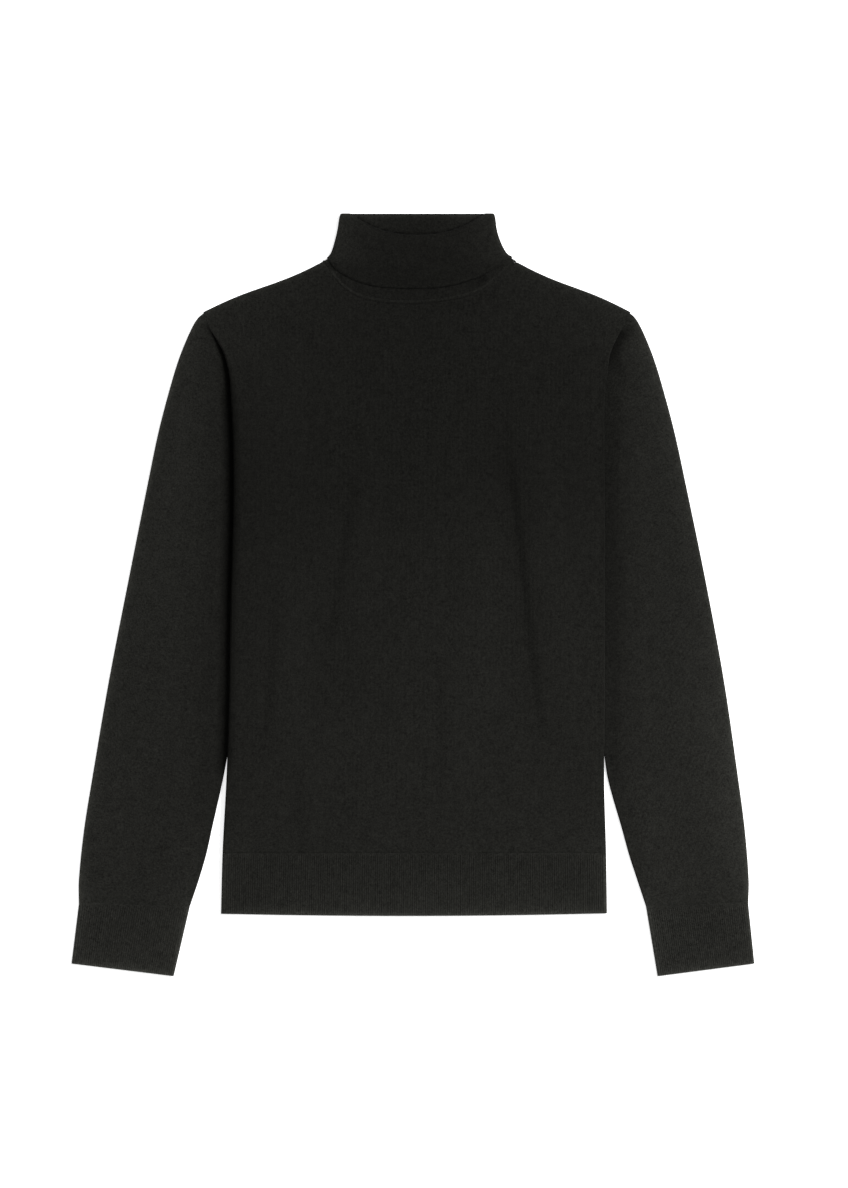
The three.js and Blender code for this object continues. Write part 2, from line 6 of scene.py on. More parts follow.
import bpy
import numpy as np
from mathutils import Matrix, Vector


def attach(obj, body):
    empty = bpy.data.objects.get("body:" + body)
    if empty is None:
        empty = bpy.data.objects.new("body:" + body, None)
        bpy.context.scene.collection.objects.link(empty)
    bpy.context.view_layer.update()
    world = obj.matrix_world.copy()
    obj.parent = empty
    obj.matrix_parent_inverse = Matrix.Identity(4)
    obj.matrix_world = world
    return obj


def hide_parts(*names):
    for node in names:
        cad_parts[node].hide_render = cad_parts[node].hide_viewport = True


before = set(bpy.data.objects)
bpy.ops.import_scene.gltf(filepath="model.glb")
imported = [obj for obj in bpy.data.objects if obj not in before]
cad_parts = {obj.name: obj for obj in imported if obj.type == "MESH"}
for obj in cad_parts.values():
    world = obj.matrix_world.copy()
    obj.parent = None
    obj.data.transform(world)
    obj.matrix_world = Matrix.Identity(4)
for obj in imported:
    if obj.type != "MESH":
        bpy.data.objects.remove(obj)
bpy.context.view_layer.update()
MM = 0.001

# Driving sizes
# They are the part's own, except that the hem, the cuffs, the collar and some of the edges follow
# the photograph a little more closely than the solids do
WALL = 1.5  # thickness of the knit
GAP = 0.3  # clear distance between two layers, and at a seam
LAYERS = 2 * WALL + GAP  # two layers of cloth
TURN_RADIUS = (WALL + GAP) / 2  # of the wall's middle, where a flat tube turns over
OUTER_RADIUS = TURN_RADIUS + WALL / 2
LOW_Z = WALL / 2  # the middle of the wall that lies on the surface
TOP_Z = LOW_Z + WALL + GAP  # the middle of the wall above it
SHOULDER_Y = 295.5

# Ribs, the hem and the cuffs
RIB_PITCH = 2.3  # one rib and its groove
RIB_RISE = 0.5
RIB_FULLNESS = 3  # the higher, the broader the ribs and the narrower the grooves
HEM_HEIGHT = 63
HEM_JOIN_Y = -270
HEM_BOW = 2.5  # how much lower the hem ends at its middle
HEM_LEFT_DROP = 0.5  # and how much lower at its left end than at its right one
BACK_JOIN = 2.0  # the hem's seam lies this much lower on the back, so that it hides no gap
FREE_END_DIP = 0.4  # how much the hem sinks towards its free end, as a share of its seam's dip
CUFF_RIBS = 48
CUFF_REACH = 1.5  # how far the cuff's sewn end reaches up inside the sleeve
CUFF_RIBS_RISE = (0, 4)  # how far from the seam the cuff's ribs come up
CUFF_DIP = 1.4  # how much the cuff sinks towards its seam, as a share of the other seams' dip

# The centre line, which wanders a little as the sweater was laid
CENTRE_LINE = {
    "y": [-400, -270, -120, 0, 290, 340, 400],
    "x": [-0.2, 1.2, 3.3, 4.2, 3.8, 6.7, 4.4],
}

# The body's edges, from the hem up to the shoulder point
BODY_EDGE = {
    "y": [-336, -270, -194, -117, -17, 81, 162, 212, 230, 251, 266, 277.5, SHOULDER_Y],
    "left": [
        -200.8, -198.9, -194.8, -192.0, -190.4, -187.7, -187.9,
        -190.4, -192.0, -197.4, -205.2, -212.2, -219.5,
    ],
    "right": [
        202.9, 201.8, 199.7, 200.4, 200.4, 200.4, 199.8,
        200.4, 202.9, 206.0, 212.0, 218.6, 227.8,
    ],
}

# The neck, from the left neck point to the right one: the two seams and the turned-down edge
NECKLINE = {
    "x": [-94.5, -88.6, -82.9, -70.2, -57.3, -41, -20, 5, 30, 52, 68, 80, 90, 100.5, 107.9],
    "front": [
        348, 342, 332.5, 319.5, 312, 307.2, 304.9, 304.5,
        307.1, 311.1, 316.8, 324.6, 333.6, 344, 348,
    ],
    "back": [
        348, 341, 336, 330.5, 327.5, 325.2, 324.1, 323.9,
        324.8, 327.2, 330.8, 334.8, 339.4, 344.6, 348,
    ],
    "end": [
        353, 350.2, 342.0, 333.0, 327.0, 322.6, 320.4, 319.8,
        321.1, 325.4, 331.2, 337.2, 343.6, 350.6, 353,
    ],
}

# The collar: its fold is level behind and dips in front
COLLAR_TOP_Y = 398.3
COLLAR_MIDDLE_X = 4.6
COLLAR_FRONT_DIP = 22.6
COLLAR_DIP_HALF_WIDTH = 70
COLLAR_DIP_CURVE = 2.3  # the higher, the flatter the dip is at its middle
COLLAR_TUCK = 4.0  # how far the collar's sewn end reaches down between the shoulders
COLLAR_SEAM_GAP = 0.8 * GAP  # above the necklines
COLLAR_LOFT = 0.6  # air under the turned-down part
TURNED_OUT = WALL + GAP  # how far that part lies outside the stand
TURNED_LENGTH = 56  # about, at the front's middle
TURNDOWN_BACK_Y = 343  # where it ends behind, at its middle
TURNDOWN_BACK_RISE = 10  # and how much higher at its sides
TURNDOWN_BACK_CURVE = 2.5
EDGE_PRESS = 0.75  # how much thinner the turned-down part gets towards its edge
EDGE_ROUND = 1.2  # over this distance
# The stand climbs onto the part that is turned down behind it: from this far above the back's
# neckline to this far below that part's edge
CLIMB_STARTS = 1.0
CLIMB_ENDS = 0.8
# The collar's sides, from the neck points to the fold
COLLAR_SIDE = {
    "y": [348, 352.2, 358.4, 371, 383.6, 394, COLLAR_TOP_Y],
    "left": [-94.5, -90.7, -86.6, -82.4, -79.1, -77.2, -75.7],
    "right": [107.9, 105.3, 98.7, 92.1, 87.8, 86.2, 84.7],
}

# The raised seam that links the collar to the front
SEAM_HALF_WIDTH = 3.2
SEAM_OFFSET = 1.7  # how far above the neckline its middle lies
SEAM_RISE = 0.7
SEAM_SUNK = 0.3  # how far below the front's upper face its borders lie
SEAM_ENDS = {"left": 4, "right": 3}  # how far from the neck points it ends
SEAM_FADE = {"left": (0, 8), "right": (4, 12)}  # how far from those ends it rises

# How far each sleeve reaches in under the body's edge
TUCK = {
    "y": [-336, -270, -230, -194, -166, -130, -80, 0, 100, 190, 232, 250, 258, 268, 300],
    "reach": [-60, -23, -14, -5.5, 0, 8, 17, 22, 20, 15, 9, 5, 3, 2.5, 2.5],
}
# The body is raised where it lies on a sleeve, in full up to a height, and not above another
LIFT = LAYERS + GAP
LIFT_HOLD = 6  # how far inwards from the sleeve it stays up
LIFT_RAMP = 85  # and over what distance it comes down
LIFT_FULL_Y = 256
LIFT_FROM_Y = 280

# The front's edges roll down round the back
ROLL_RADIUS = 1.65
ROLL_TAIL = 0.6
ROLL_DEPTH = WALL / 2 + ROLL_RADIUS
SHOULDER_ROLL = (0, 14)  # over this distance from the neck the shoulders come to be rolled
SLANT = 1.08  # a slanting shoulder makes its edge's depth this much longer along Y
SHOULDER_BOW = 1.5  # how far a shoulder sinks near the neck and swells near the sleeve

# The sleeve's outer fold and the part of its inner fold that shows, off the centre line
SLEEVE_OUTER = {
    "off": [350.0, 350.2, 345.5, 338.0, 321.4, 301.7, 280.4, 269.3, 255.4, 246.9, 235.9, 228.4],
    "y": [-322, -298, -246, -194, -89, 15, 120, 172, 224, 250.5, 276.7, 289.5],
}
SLEEVE_INNER = {
    "off": [236.5, 229.3, 221.1, 214.6, 201.7],
    "y": [-327, -299, -272, -246, -194],
}
HIDDEN_INNER_Y = [-160, -120, -70, 0, 70, 120, 150]
ARMHOLE_Y = [150, 180, 205, 225, 240, 250, 258, 268, 280, SHOULDER_Y]
# The cuff's corners off the centre line, at the seam and at the free end
CUFF = {
    "inner": {"off": [236.4, 252.7], "y": [-327.3, -398.7]},
    "outer": {"off": [349.8, 357.0], "y": [-322.3, -385.5]},
}
# How far towards +X each inner fold lies, since the two sleeves don't mirror each other there
INNER_LEAN = {
    "y": [-400, -327, -298, -256, -200],
    "left": [2.8, 2.3, 4.3, 3.1, 0.6],
    "right": [3.0, 6.8, 4.4, 3.0, 0],
}

# Ridges: where each starts and ends, how wide its left and right slopes are, and how high it is
FRONT_RIDGES = {
    "x1": [103, 94, -47, -131, -115, 37],
    "y1": [205, 190, 150, 25, -168, -68],
    "x2": [144, 118, -80, -147, -110, 37],
    "y2": [-160, 80, -60, -185, -272, -240],
    "left": [14, 26, 15, 16, 10, 12],
    "right": [46, 40, 36, 36, 24, 34],
    "height": [4.0, 1.8, 2.6, 3.0, 1.5, 1.6],
}
SLEEVE_RIDGES = {
    "x1": [250, 262, 305],
    "y1": [215, 20, -150],
    "x2": [292, 290, 318],
    "y2": [-20, -230, -310],
    "left": [30, 34, 30],
    "right": [30, 34, 30],
    "height": [1.4, 1.6, 1.2],
}
RIDGE_ENDS = 0.7  # the lower, the blunter the ridges end
UNEVEN = 0.35  # height of the slow waves in cloth that nobody pressed flat
SLEEVE_WAVES_X = 40  # how far the sleeves' waves are moved, so that they don't repeat the body's
NECK_FLAT = (0, 20)  # how far from the neckline the waves of the front come up

# How much more the front bulges along its edges than the solid does
EDGE_RISE = {
    "left": 3.2,
    "right": 0.6,
    "reach": 45,
    "starts": (-330, -190),
    "ends": (235, LIFT_FROM_Y),
}
# The air inside each sleeve, with how far from its folds and from the body's edge it comes up,
# and over what shares of the sleeve's length it comes and goes
SLEEVE_AIR = {
    "height": 1.8,
    "folds": (0, 22),
    "body": (1, 18),
    "starts": (0, 0.08),
    "ends": (0.88, 1),
}

# How far the cloth sinks towards a seam, and over what distance
SEAM_DIP = 0.55
SEAM_SOFTNESS = 1.3

# How closely the cloth is meshed
MESH_STEP = 3.0
COLLAR_STEP = 2.5
EDGE_STEPS = [0, 0.5, 1.1, 2.0, 3.3, 5.0]  # closer together beside a seam or a free edge
BEND_STEPS = 6
RIB_STEPS = 4
SHARP_ANGLE = math.radians(50)
SPLINE_STEPS = 400
ARMHOLE_STEPS = 200
SLEEVE_RINGS = 205
COLLAR_RINGS = {"climb": 5, "rest": 18, "fold": 9}
NECK_SEAM_STEPS = {"along": 160, "across": 17}
# Rounded sizes of the larger pieces, for spacing their rows and telling how far off a seam is
PANEL_LENGTH = 590
SLEEVE_LENGTH = 640
SLEEVE_WIDTH = 135


# Curves and numbers
def mix(a, b, share):
    return a + (b - a) * share


def ease(value, low, high):
    t = np.clip((value - low) / (high - low), 0, 1)
    return t * t * (3 - 2 * t)


def column_of(table, given, wanted):
    """A smooth curve through one column of a table, as a function of another that increases."""
    x, y = (np.array(table[key], float) for key in (given, wanted))
    tangent = np.gradient(y)
    tangent[1:-1] = (y[2:] - y[:-2]) / (x[2:] - x[:-2])
    tangent[[0, -1]] = [(y[1] - y[0]) / (x[1] - x[0]), (y[-1] - y[-2]) / (x[-1] - x[-2])]

    def at(value):
        value = np.clip(value, x[0], x[-1])
        i = np.clip(np.searchsorted(x, value) - 1, 0, len(x) - 2)
        span = x[i + 1] - x[i]
        t = (value - x[i]) / span
        start = y[i] * (2 * t**3 - 3 * t**2 + 1) + tangent[i] * span * (t**3 - 2 * t**2 + t)
        end = y[i + 1] * (3 * t**2 - 2 * t**3) + tangent[i + 1] * span * (t**3 - t**2)
        return start + end

    return at


centre_at = column_of(CENTRE_LINE, "y", "x")
left_at = column_of(BODY_EDGE, "y", "left")
right_at = column_of(BODY_EDGE, "y", "right")
tuck_at = column_of(TUCK, "y", "reach")
lean_at = {-1: column_of(INNER_LEAN, "y", "left"), 1: column_of(INNER_LEAN, "y", "right")}
neck_seam = {"front": column_of(NECKLINE, "x", "front"), "back": column_of(NECKLINE, "x", "back")}
front_end = column_of(NECKLINE, "x", "end")
collar_left = column_of(COLLAR_SIDE, "y", "left")
collar_right = column_of(COLLAR_SIDE, "y", "right")
NECK_LEFT, NECK_RIGHT = NECKLINE["x"][0], NECKLINE["x"][-1]
NECK_POINT_Y = NECKLINE["front"][0]
HEM_RIBS = round((right_at(HEM_JOIN_Y) - left_at(HEM_JOIN_Y)) / RIB_PITCH)
HEM_SHARES = np.linspace(0, 1, HEM_RIBS * RIB_STEPS + 1)


def edge_at(side, y):
    return left_at(y) if side < 0 else right_at(y)


def spaced(length, step=MESH_STEP):
    """Distances along a length, closer together at both ends."""
    inner = EDGE_STEPS[-1]
    count = max(1, round((length - 2 * inner) / step))
    middle = np.linspace(inner, length - inner, count + 1)
    ends = np.array(EDGE_STEPS[:-1], float)
    return np.concatenate([ends, middle, (length - ends)[::-1]])


def rows_up(length, step=MESH_STEP):
    return spaced(length, step) / length


def lengths(points):
    """Distance along a line of points, starting from 0."""
    return np.concatenate([[0], np.cumsum(np.linalg.norm(np.diff(points, axis=0), axis=1))])


def spline(points, count):
    """Points at even distances along a smooth curve through the given ones."""
    points = np.array(points, float)
    along = lengths(points)
    fine = np.linspace(0, along[-1], SPLINE_STEPS)
    curve = np.stack([
        column_of({"s": along, "v": points[:, axis]}, "s", "v")(fine) for axis in (0, 1)
    ], axis=1)
    length = lengths(curve)
    wanted = np.linspace(0, length[-1], count)
    return np.stack([np.interp(wanted, length, curve[:, axis]) for axis in (0, 1)], axis=1)


# Relief of the cloth
def ridge_height(ridges, x, y):
    total = np.zeros(np.broadcast(x, y).shape)
    for x1, y1, x2, y2, left, right, height in zip(*ridges.values()):
        length = math.hypot(x2 - x1, y2 - y1)
        along = ((x - x1) * (x2 - x1) + (y - y1) * (y2 - y1)) / length**2
        away = ((y1 - y2) * (x - x1) + (x2 - x1) * (y - y1)) / length
        across = np.clip(np.where(away < 0, -away / left, away / right), 0, 1)
        end_fade = np.sin(np.pi * np.clip(along, 0, 1)) ** RIDGE_ENDS
        total += height * end_fade * (1 - across**2) ** 2
    return total


def waves(x, y):
    """Slow uneven waves, never below zero. What x and y are divided by sets their lengths."""
    first = np.sin(x / 17 + 1.3 * np.sin(y / 61)) * np.sin(y / 83 + 0.8 * np.sin(x / 29) + 1)
    second = np.sin(x / 31 - y / 140 + 2.1) * np.sin(y / 47 + x / 95)
    return UNEVEN * (1 + 0.6 * first + 0.4 * second) / 2


def lift_at(x, y):
    """How far the body is raised by the sleeves that it lies on."""
    def near(side):
        inside = side * (edge_at(side, y) - x) - tuck_at(y)
        return 1 - ease(inside, LIFT_HOLD, LIFT_HOLD + LIFT_RAMP)

    climbed = 1 - ease(y, LIFT_FULL_Y, LIFT_FROM_Y)
    return LIFT * climbed * np.maximum(near(-1), near(1))


def edge_rise(x, y):
    """How much more the front bulges where the sleeves push in under it, most at the left."""
    left = EDGE_RISE["left"] * np.exp(-(x - left_at(y)) / EDGE_RISE["reach"])
    right = EDGE_RISE["right"] * np.exp(-(right_at(y) - x) / EDGE_RISE["reach"])
    return (left + right) * (1 - ease(y, *EDGE_RISE["ends"])) * ease(y, *EDGE_RISE["starts"])


def seam_dip(distance):
    return SEAM_DIP * np.exp(-np.maximum(distance, 0) / SEAM_SOFTNESS)


def rib_profile(phase):
    """Broad rounded ribs with narrow grooves between them."""
    return RIB_RISE * (1 - np.abs(2 * (phase % 1) - 1) ** RIB_FULLNESS)


# Meshes
class Skin:
    """A closed surface gathered from grids of points and the strips that join their borders."""

    def __init__(self):
        self.points, self.quads, self.uvs, self.count = [], [], [], 0

    def grid(self, points, uv, closed=False, flipped=False):
        """Points are rows by columns by 3. A closed grid's uv has one column more."""
        rows, columns = points.shape[:2]
        index = self.count + np.arange(rows * columns).reshape(rows, columns)
        self.points.append(points.reshape(-1, 3))
        self.count += rows * columns
        wide = np.concatenate([index, index[:, :1]], axis=1) if closed else index
        self.face(wide[:-1, :-1], wide[:-1, 1:], wide[1:, 1:], wide[1:, :-1], uv, flipped)
        return index

    def face(self, a, b, c, d, uv, flipped=False):
        quads = np.stack([a, b, c, d], axis=-1).reshape(-1, 4)
        corners = [uv[:-1, :-1], uv[:-1, 1:], uv[1:, 1:], uv[1:, :-1]]
        corners = np.stack(corners, axis=-2).reshape(-1, 4, 2)
        self.quads.append(quads[:, ::-1] if flipped else quads)
        self.uvs.append(corners[:, ::-1] if flipped else corners)

    def strip(self, first, second, uv):
        """Joins two borders of the same length."""
        both = np.stack([uv, uv])
        self.face(first[:-1], first[1:], second[1:], second[:-1], both)

    def make(self, name, material, painted_light):
        points = np.concatenate(self.points)
        quads = np.concatenate(self.quads)
        uvs = np.concatenate(self.uvs)
        a, b, c, d = (points[quads[:, i]] for i in range(4))
        volume = np.einsum("ij,ij->", a, np.cross(b, c)) + np.einsum("ij,ij->", a, np.cross(c, d))
        if volume < 0:
            quads, uvs = quads[:, ::-1], uvs[:, ::-1]
        mesh = bpy.data.meshes.new(name)
        mesh.from_pydata((points * MM).tolist(), [], quads.tolist())
        mesh.uv_layers.new(name="cloth").data.foreach_set("uv", (uvs * MM).ravel())
        # The points' painted light and shade, kept as a colour that the wool's colour is multiplied
        # by
        shade = np.ones((len(points), 4))
        shade[:, :3] = painted_light(points[:, 0], points[:, 1])[:, None]
        colours = mesh.color_attributes.new("painted_light", "FLOAT_COLOR", "POINT")
        colours.data.foreach_set("color", shade.ravel())
        mesh.polygons.foreach_set("use_smooth", np.ones(len(quads), bool))
        mesh.set_sharp_from_angle(angle=SHARP_ANGLE)
        mesh.materials.append(material)
        piece = bpy.data.objects.new(name, mesh)
        bpy.context.collection.objects.link(piece)
        return piece


def sheet(name, material, painted_light, upper, lower, uv):
    """A flat piece of cloth from its two faces, which have the same rows and columns."""
    skin = Skin()
    up = skin.grid(upper, uv)
    low = skin.grid(lower, uv, flipped=True)
    skin.strip(up[0], low[0], uv[0])
    skin.strip(low[-1], up[-1], uv[-1])
    skin.strip(low[:, 0], up[:, 0], uv[:, 0])
    skin.strip(up[:, -1], low[:, -1], uv[:, -1])
    return skin.make(name, material, painted_light)


def tube(name, material, painted_light, outside, inside, uv):
    """A tube of cloth from its two faces, whose rings have the same stations."""
    skin = Skin()
    out = skin.grid(outside, uv, closed=True)
    within = skin.grid(inside, uv, closed=True, flipped=True)
    around = [np.concatenate([ring, ring[:1]]) for ring in (out[0], within[0], within[-1], out[-1])]
    skin.strip(around[0], around[1], uv[0])
    skin.strip(around[2], around[3], uv[-1])
    return skin.make(name, material, painted_light)


# The body's plan
def outside_neck(x):
    return np.maximum(NECK_LEFT - x, x - NECK_RIGHT)


def top_edge(x, panel):
    """The upper end of a body panel: the neckline, and the straight shoulders beside it."""
    neck = np.where(x < 0, NECK_LEFT, NECK_RIGHT)
    shoulder = np.where(x < 0, left_at(SHOULDER_Y), right_at(SHOULDER_Y))
    share = np.clip((x - neck) / (shoulder - neck), 0, 1)
    slope = mix(NECK_POINT_Y, SHOULDER_Y, share) - SHOULDER_BOW * np.sin(2 * math.pi * share)
    return np.where(outside_neck(x) <= 0, neck_seam[panel](x), slope)


def roll_stations():
    """Columns of inset, drop, outward and upward share of the normal, and inset when not rolled."""
    angle = np.linspace(0, math.pi / 2, BEND_STEPS + 1)
    inset = np.concatenate([[WALL / 2], WALL / 2 + ROLL_RADIUS * (1 - np.cos(angle))])
    drop = np.concatenate([[ROLL_RADIUS + ROLL_TAIL], ROLL_RADIUS * (1 - np.sin(angle))])
    angle = np.concatenate([[0], angle])
    plain = np.linspace(GAP / 2, ROLL_DEPTH, len(angle))
    return np.stack([inset, drop, np.cos(angle), np.sin(angle), plain], axis=1)


ROLL = roll_stations()


def rolled(stations, weight):
    """Stations on an edge that is rolled under (weight 1), cut off plainly (0) or in between."""
    inset, drop, out, up, plain = np.moveaxis(stations, -1, 0)
    return mix(plain, inset, weight), drop * weight, out * weight, mix(1, up, weight)


def level_stations(insets):
    """Stations past the roll: flat, at their insets whether or not the edge is rolled."""
    insets = np.asarray(insets, float)
    zero, one = np.zeros_like(insets), np.ones_like(insets)
    return np.stack([insets, zero, zero, one, insets], axis=1)


class Columns:
    """Columns across the body: stations at each edge, and shares of the width between them."""

    def __init__(self, beside, shares):
        middle = level_stations(np.full(len(shares) - 2, ROLL_DEPTH))
        self.side = np.repeat([-1, 0, 1], [len(beside), len(middle), len(beside)])
        self.station = np.concatenate([beside, middle, beside[::-1]])
        self.share = np.interp(np.cumsum(self.side == 0), np.arange(len(shares)), shares)
        self.share[self.side > 0] = 1
        self.tail = self.station[:, 1] > ROLL_RADIUS
        self.top_x = self.across(np.full((1, len(self.side)), SHOULDER_Y), 0)[0][0]

    def across(self, y, weight):
        """x, drop, and the outward and upward share of the normal, at heights y."""
        inset, drop, out, up = rolled(self.station, weight)
        x = mix(left_at(y) + inset, right_at(y) - inset, self.share)
        return np.broadcast_arrays(x, drop, self.side * out, up)


def panel_columns(beside, step=MESH_STEP):
    width = right_at(SHOULDER_Y) - left_at(SHOULDER_Y)
    return Columns(beside, np.linspace(0, 1, round(width / step)))


def front_z(x, y, tail=False):
    """The height of the front. The tail of a rolled edge hangs down, however far it bulges."""
    from_neck = top_edge(x, "front") - y
    uneven = waves(x, y) * ease(from_neck, *NECK_FLAT)
    relief = ridge_height(FRONT_RIDGES, x, y) + edge_rise(x, y) + uneven
    return TOP_Z + lift_at(x, y) + relief - np.where(tail, edge_rise(x, y), 0)


def back_z(x, y, tail=False):
    return LOW_Z + lift_at(x, y)


def both_faces(point, normal):
    """The upper and the lower face of a wall round its middle surface."""
    normal = normal / np.linalg.norm(normal, axis=-1, keepdims=True)
    return point + normal * (WALL / 2), point - normal * (WALL / 2)


# Pieces of the body
def make_front(material):
    columns = panel_columns(ROLL)
    shares = rows_up(PANEL_LENGTH)
    top_x = columns.top_x
    share = np.concatenate([shares, np.ones(len(ROLL) - 1)])[:, None]
    stations = np.concatenate([level_stations(np.full(len(shares), ROLL_DEPTH)), ROLL[-2::-1]])
    top_weight = ease(outside_neck(top_x), *SHOULDER_ROLL)
    inset, drop, out, up = rolled(stations[:, None, :], top_weight[None, :])
    edge = top_edge(top_x, "front")
    y = mix(HEM_JOIN_Y + GAP / 2, edge - ROLL_DEPTH * SLANT, share) + (ROLL_DEPTH - inset) * SLANT
    side_weight = 1 - ease(y, LIFT_FULL_Y, LIFT_FROM_Y)
    x, side_drop, side_out, side_up = columns.across(y, side_weight)
    below_neckline = np.where(outside_neck(top_x) < 0, edge - y, np.inf)
    dip = seam_dip(np.minimum(y - HEM_JOIN_Y, below_neckline))
    z = front_z(x, y, columns.tail) - side_drop - drop - dip
    normal = np.stack([side_out, out, side_up * up], axis=-1)
    upper, lower = both_faces(np.stack([x, y, z], axis=-1), normal)
    return sheet("front_cloth", material, body_painted_light, upper, lower, np.stack([x, y], axis=-1))


def make_back(material):
    columns = panel_columns(level_stations([ROLL_DEPTH]), 2 * MESH_STEP)
    top_x = columns.top_x
    share = rows_up(PANEL_LENGTH, 2 * MESH_STEP)[:, None]
    depth = np.where(outside_neck(top_x) > -1, ROLL_DEPTH, GAP / 2) * SLANT
    y = mix(HEM_JOIN_Y - BACK_JOIN, top_edge(top_x, "back") - depth, share)
    x = columns.across(y, 1)[0]
    point = np.stack([x, y, back_z(x, y)], axis=-1)
    upper, lower = both_faces(point, np.zeros_like(point) + [0, 0, 1])
    return sheet("back_cloth", material, body_painted_light, upper, lower, np.stack([x, y], axis=-1))


def hem_end(share):
    bow = HEM_BOW * (1 - (2 * share - 1) ** 2)
    return HEM_JOIN_Y - HEM_HEIGHT - bow - HEM_LEFT_DROP * (1 - share)


def hem_piece(name, material, columns, height_at, face, join=0.0):
    share = rows_up(HEM_HEIGHT)[:, None]
    end = hem_end(columns.share)
    y = mix(end, HEM_JOIN_Y - join, share)
    x, drop, out, up = columns.across(y, 1)
    dip = seam_dip(HEM_JOIN_Y - y)
    sunk = (dip + FREE_END_DIP * seam_dip(y - end)) * (face > 0)
    point = np.stack([x, y, height_at(x, y, columns.tail) - drop - sunk], axis=-1)
    upper, lower = both_faces(point, np.stack([out, np.zeros_like(out), up], axis=-1))
    rib = rib_profile(columns.share * HEM_RIBS)
    if face > 0:
        upper[..., 2] += rib * (1 - dip / SEAM_DIP)
    else:
        lower[..., 2] += RIB_RISE - rib
    return sheet(name, material, body_painted_light, upper, lower, np.stack([x, y], axis=-1))


def make_hem_front(material):
    columns = Columns(ROLL, HEM_SHARES)
    return hem_piece("hem_front_cloth", material, columns, front_z, 1)


def make_hem_back(material):
    columns = Columns(level_stations([ROLL_DEPTH]), HEM_SHARES)
    return hem_piece("hem_back_cloth", material, columns, back_z, -1, BACK_JOIN)


# Flat tubes
def ring_stations(top, bottom, turn=BEND_STEPS):
    """Share across, and the outward and upward direction, of the stations round a flat tube."""
    angle = math.pi * np.arange(1, turn + 1) / (turn + 1)
    start, end = 1.5 * math.pi - angle, 0.5 * math.pi - angle
    share = np.concatenate([np.zeros(turn), top, np.ones(turn), bottom[::-1]])
    flat = [np.zeros(len(top)), np.zeros(len(bottom))]
    out = np.concatenate([np.cos(start), flat[0], np.cos(end), flat[1]])
    up = np.concatenate([np.sin(start), flat[0] + 1, np.sin(end), flat[1] - 1])
    return share, out, up


def flat_tube(stations, face, plan, width, loft, rib=0.0):
    """One face of a flat tube as rings of points. plan gives x and y for shares across."""
    share, out, up = stations
    radius = TURN_RADIUS + face * WALL / 2
    across = mix(OUTER_RADIUS, width - OUTER_RADIUS, share) + radius * out
    x, y = plan(across / width)
    raised = np.where(up > 0, loft(x, y, np.minimum(across, width - across)) * up, 0)
    z = LOW_Z + TURN_RADIUS + (radius + rib) * up + raised
    return np.stack([x, y, z], axis=-1)


def ring_uv(rings, start):
    """Distances round and along a tube's rings, round counted from one station."""
    closed = np.concatenate([rings, rings[:, :1]], axis=1)
    around = np.array([lengths(ring) for ring in closed])
    along = lengths(rings[:, start])
    return np.stack(np.broadcast_arrays(around - around[:, start : start + 1], along[:, None]), -1)


def outer_turn(shares):
    """The station at the middle of a tube's outer turn."""
    return BEND_STEPS + len(shares) + BEND_STEPS // 2


def under_body(side, y):
    y = np.asarray(y, float)
    return np.stack([edge_at(side, y) - side * tuck_at(y), y], axis=-1)


def outer_points(table, side):
    off, y = (np.array(table[key], float) for key in ("off", "y"))
    return np.stack([side * off + centre_at(y), y], axis=-1)


def inner_points(table, side):
    points = outer_points(table, side)
    points[:, 0] += lean_at[side](points[:, 1])
    return points


def sleeve_plan(side, rows):
    """x and y on the sleeve's plan, from its four borders: one row for each ring."""
    hidden, top = under_body(side, HIDDEN_INNER_Y), under_body(side, [SHOULDER_Y])
    inner = spline(np.concatenate([inner_points(SLEEVE_INNER, side), hidden]), rows)
    outer = spline(np.concatenate([outer_points(SLEEVE_OUTER, side), top]), rows)
    hole = spline(under_body(side, ARMHOLE_Y), ARMHOLE_STEPS)
    along = np.linspace(0, 1, rows)[:, None]

    def plan(share):
        place = []
        for axis in (0, 1):
            low = mix(inner[0, axis], outer[0, axis], share)
            high = mix(inner[-1, axis], outer[-1, axis], share)
            end = np.interp(share, np.linspace(0, 1, ARMHOLE_STEPS), hole[:, axis])
            straight = mix(inner[:, axis : axis + 1], outer[:, axis : axis + 1], share)
            place.append(straight + mix(low, end, along) - mix(low, high, along))
        return place

    return plan, np.linalg.norm(outer - inner, axis=1)[:, None], along


def make_sleeve(name, side, material):
    shares = rows_up(SLEEVE_WIDTH)
    stations = ring_stations(shares, shares)
    plan, width, along = sleeve_plan(side, SLEEVE_RINGS)

    def loft(x, y, inside):
        outside = side * (x - edge_at(side, y))
        clear = ease(outside, *SLEEVE_AIR["body"]) * ease(along, *SLEEVE_AIR["starts"])
        clear = clear * (1 - ease(along, *SLEEVE_AIR["ends"]))
        off = side * (x - centre_at(y))
        puff = SLEEVE_AIR["height"] * ease(inside, *SLEEVE_AIR["folds"])
        ridges = ridge_height(SLEEVE_RIDGES, off, y)
        return clear * (puff + ridges + waves(x + SLEEVE_WAVES_X, y))

    dip = seam_dip(along * SLEEVE_LENGTH)
    outside = flat_tube(stations, 1, plan, width, loft, -dip)
    inside = flat_tube(stations, -1, plan, width, loft)
    uv = ring_uv(outside, outer_turn(shares))
    return tube(name, material, sleeve_painted_light, outside, inside, uv)


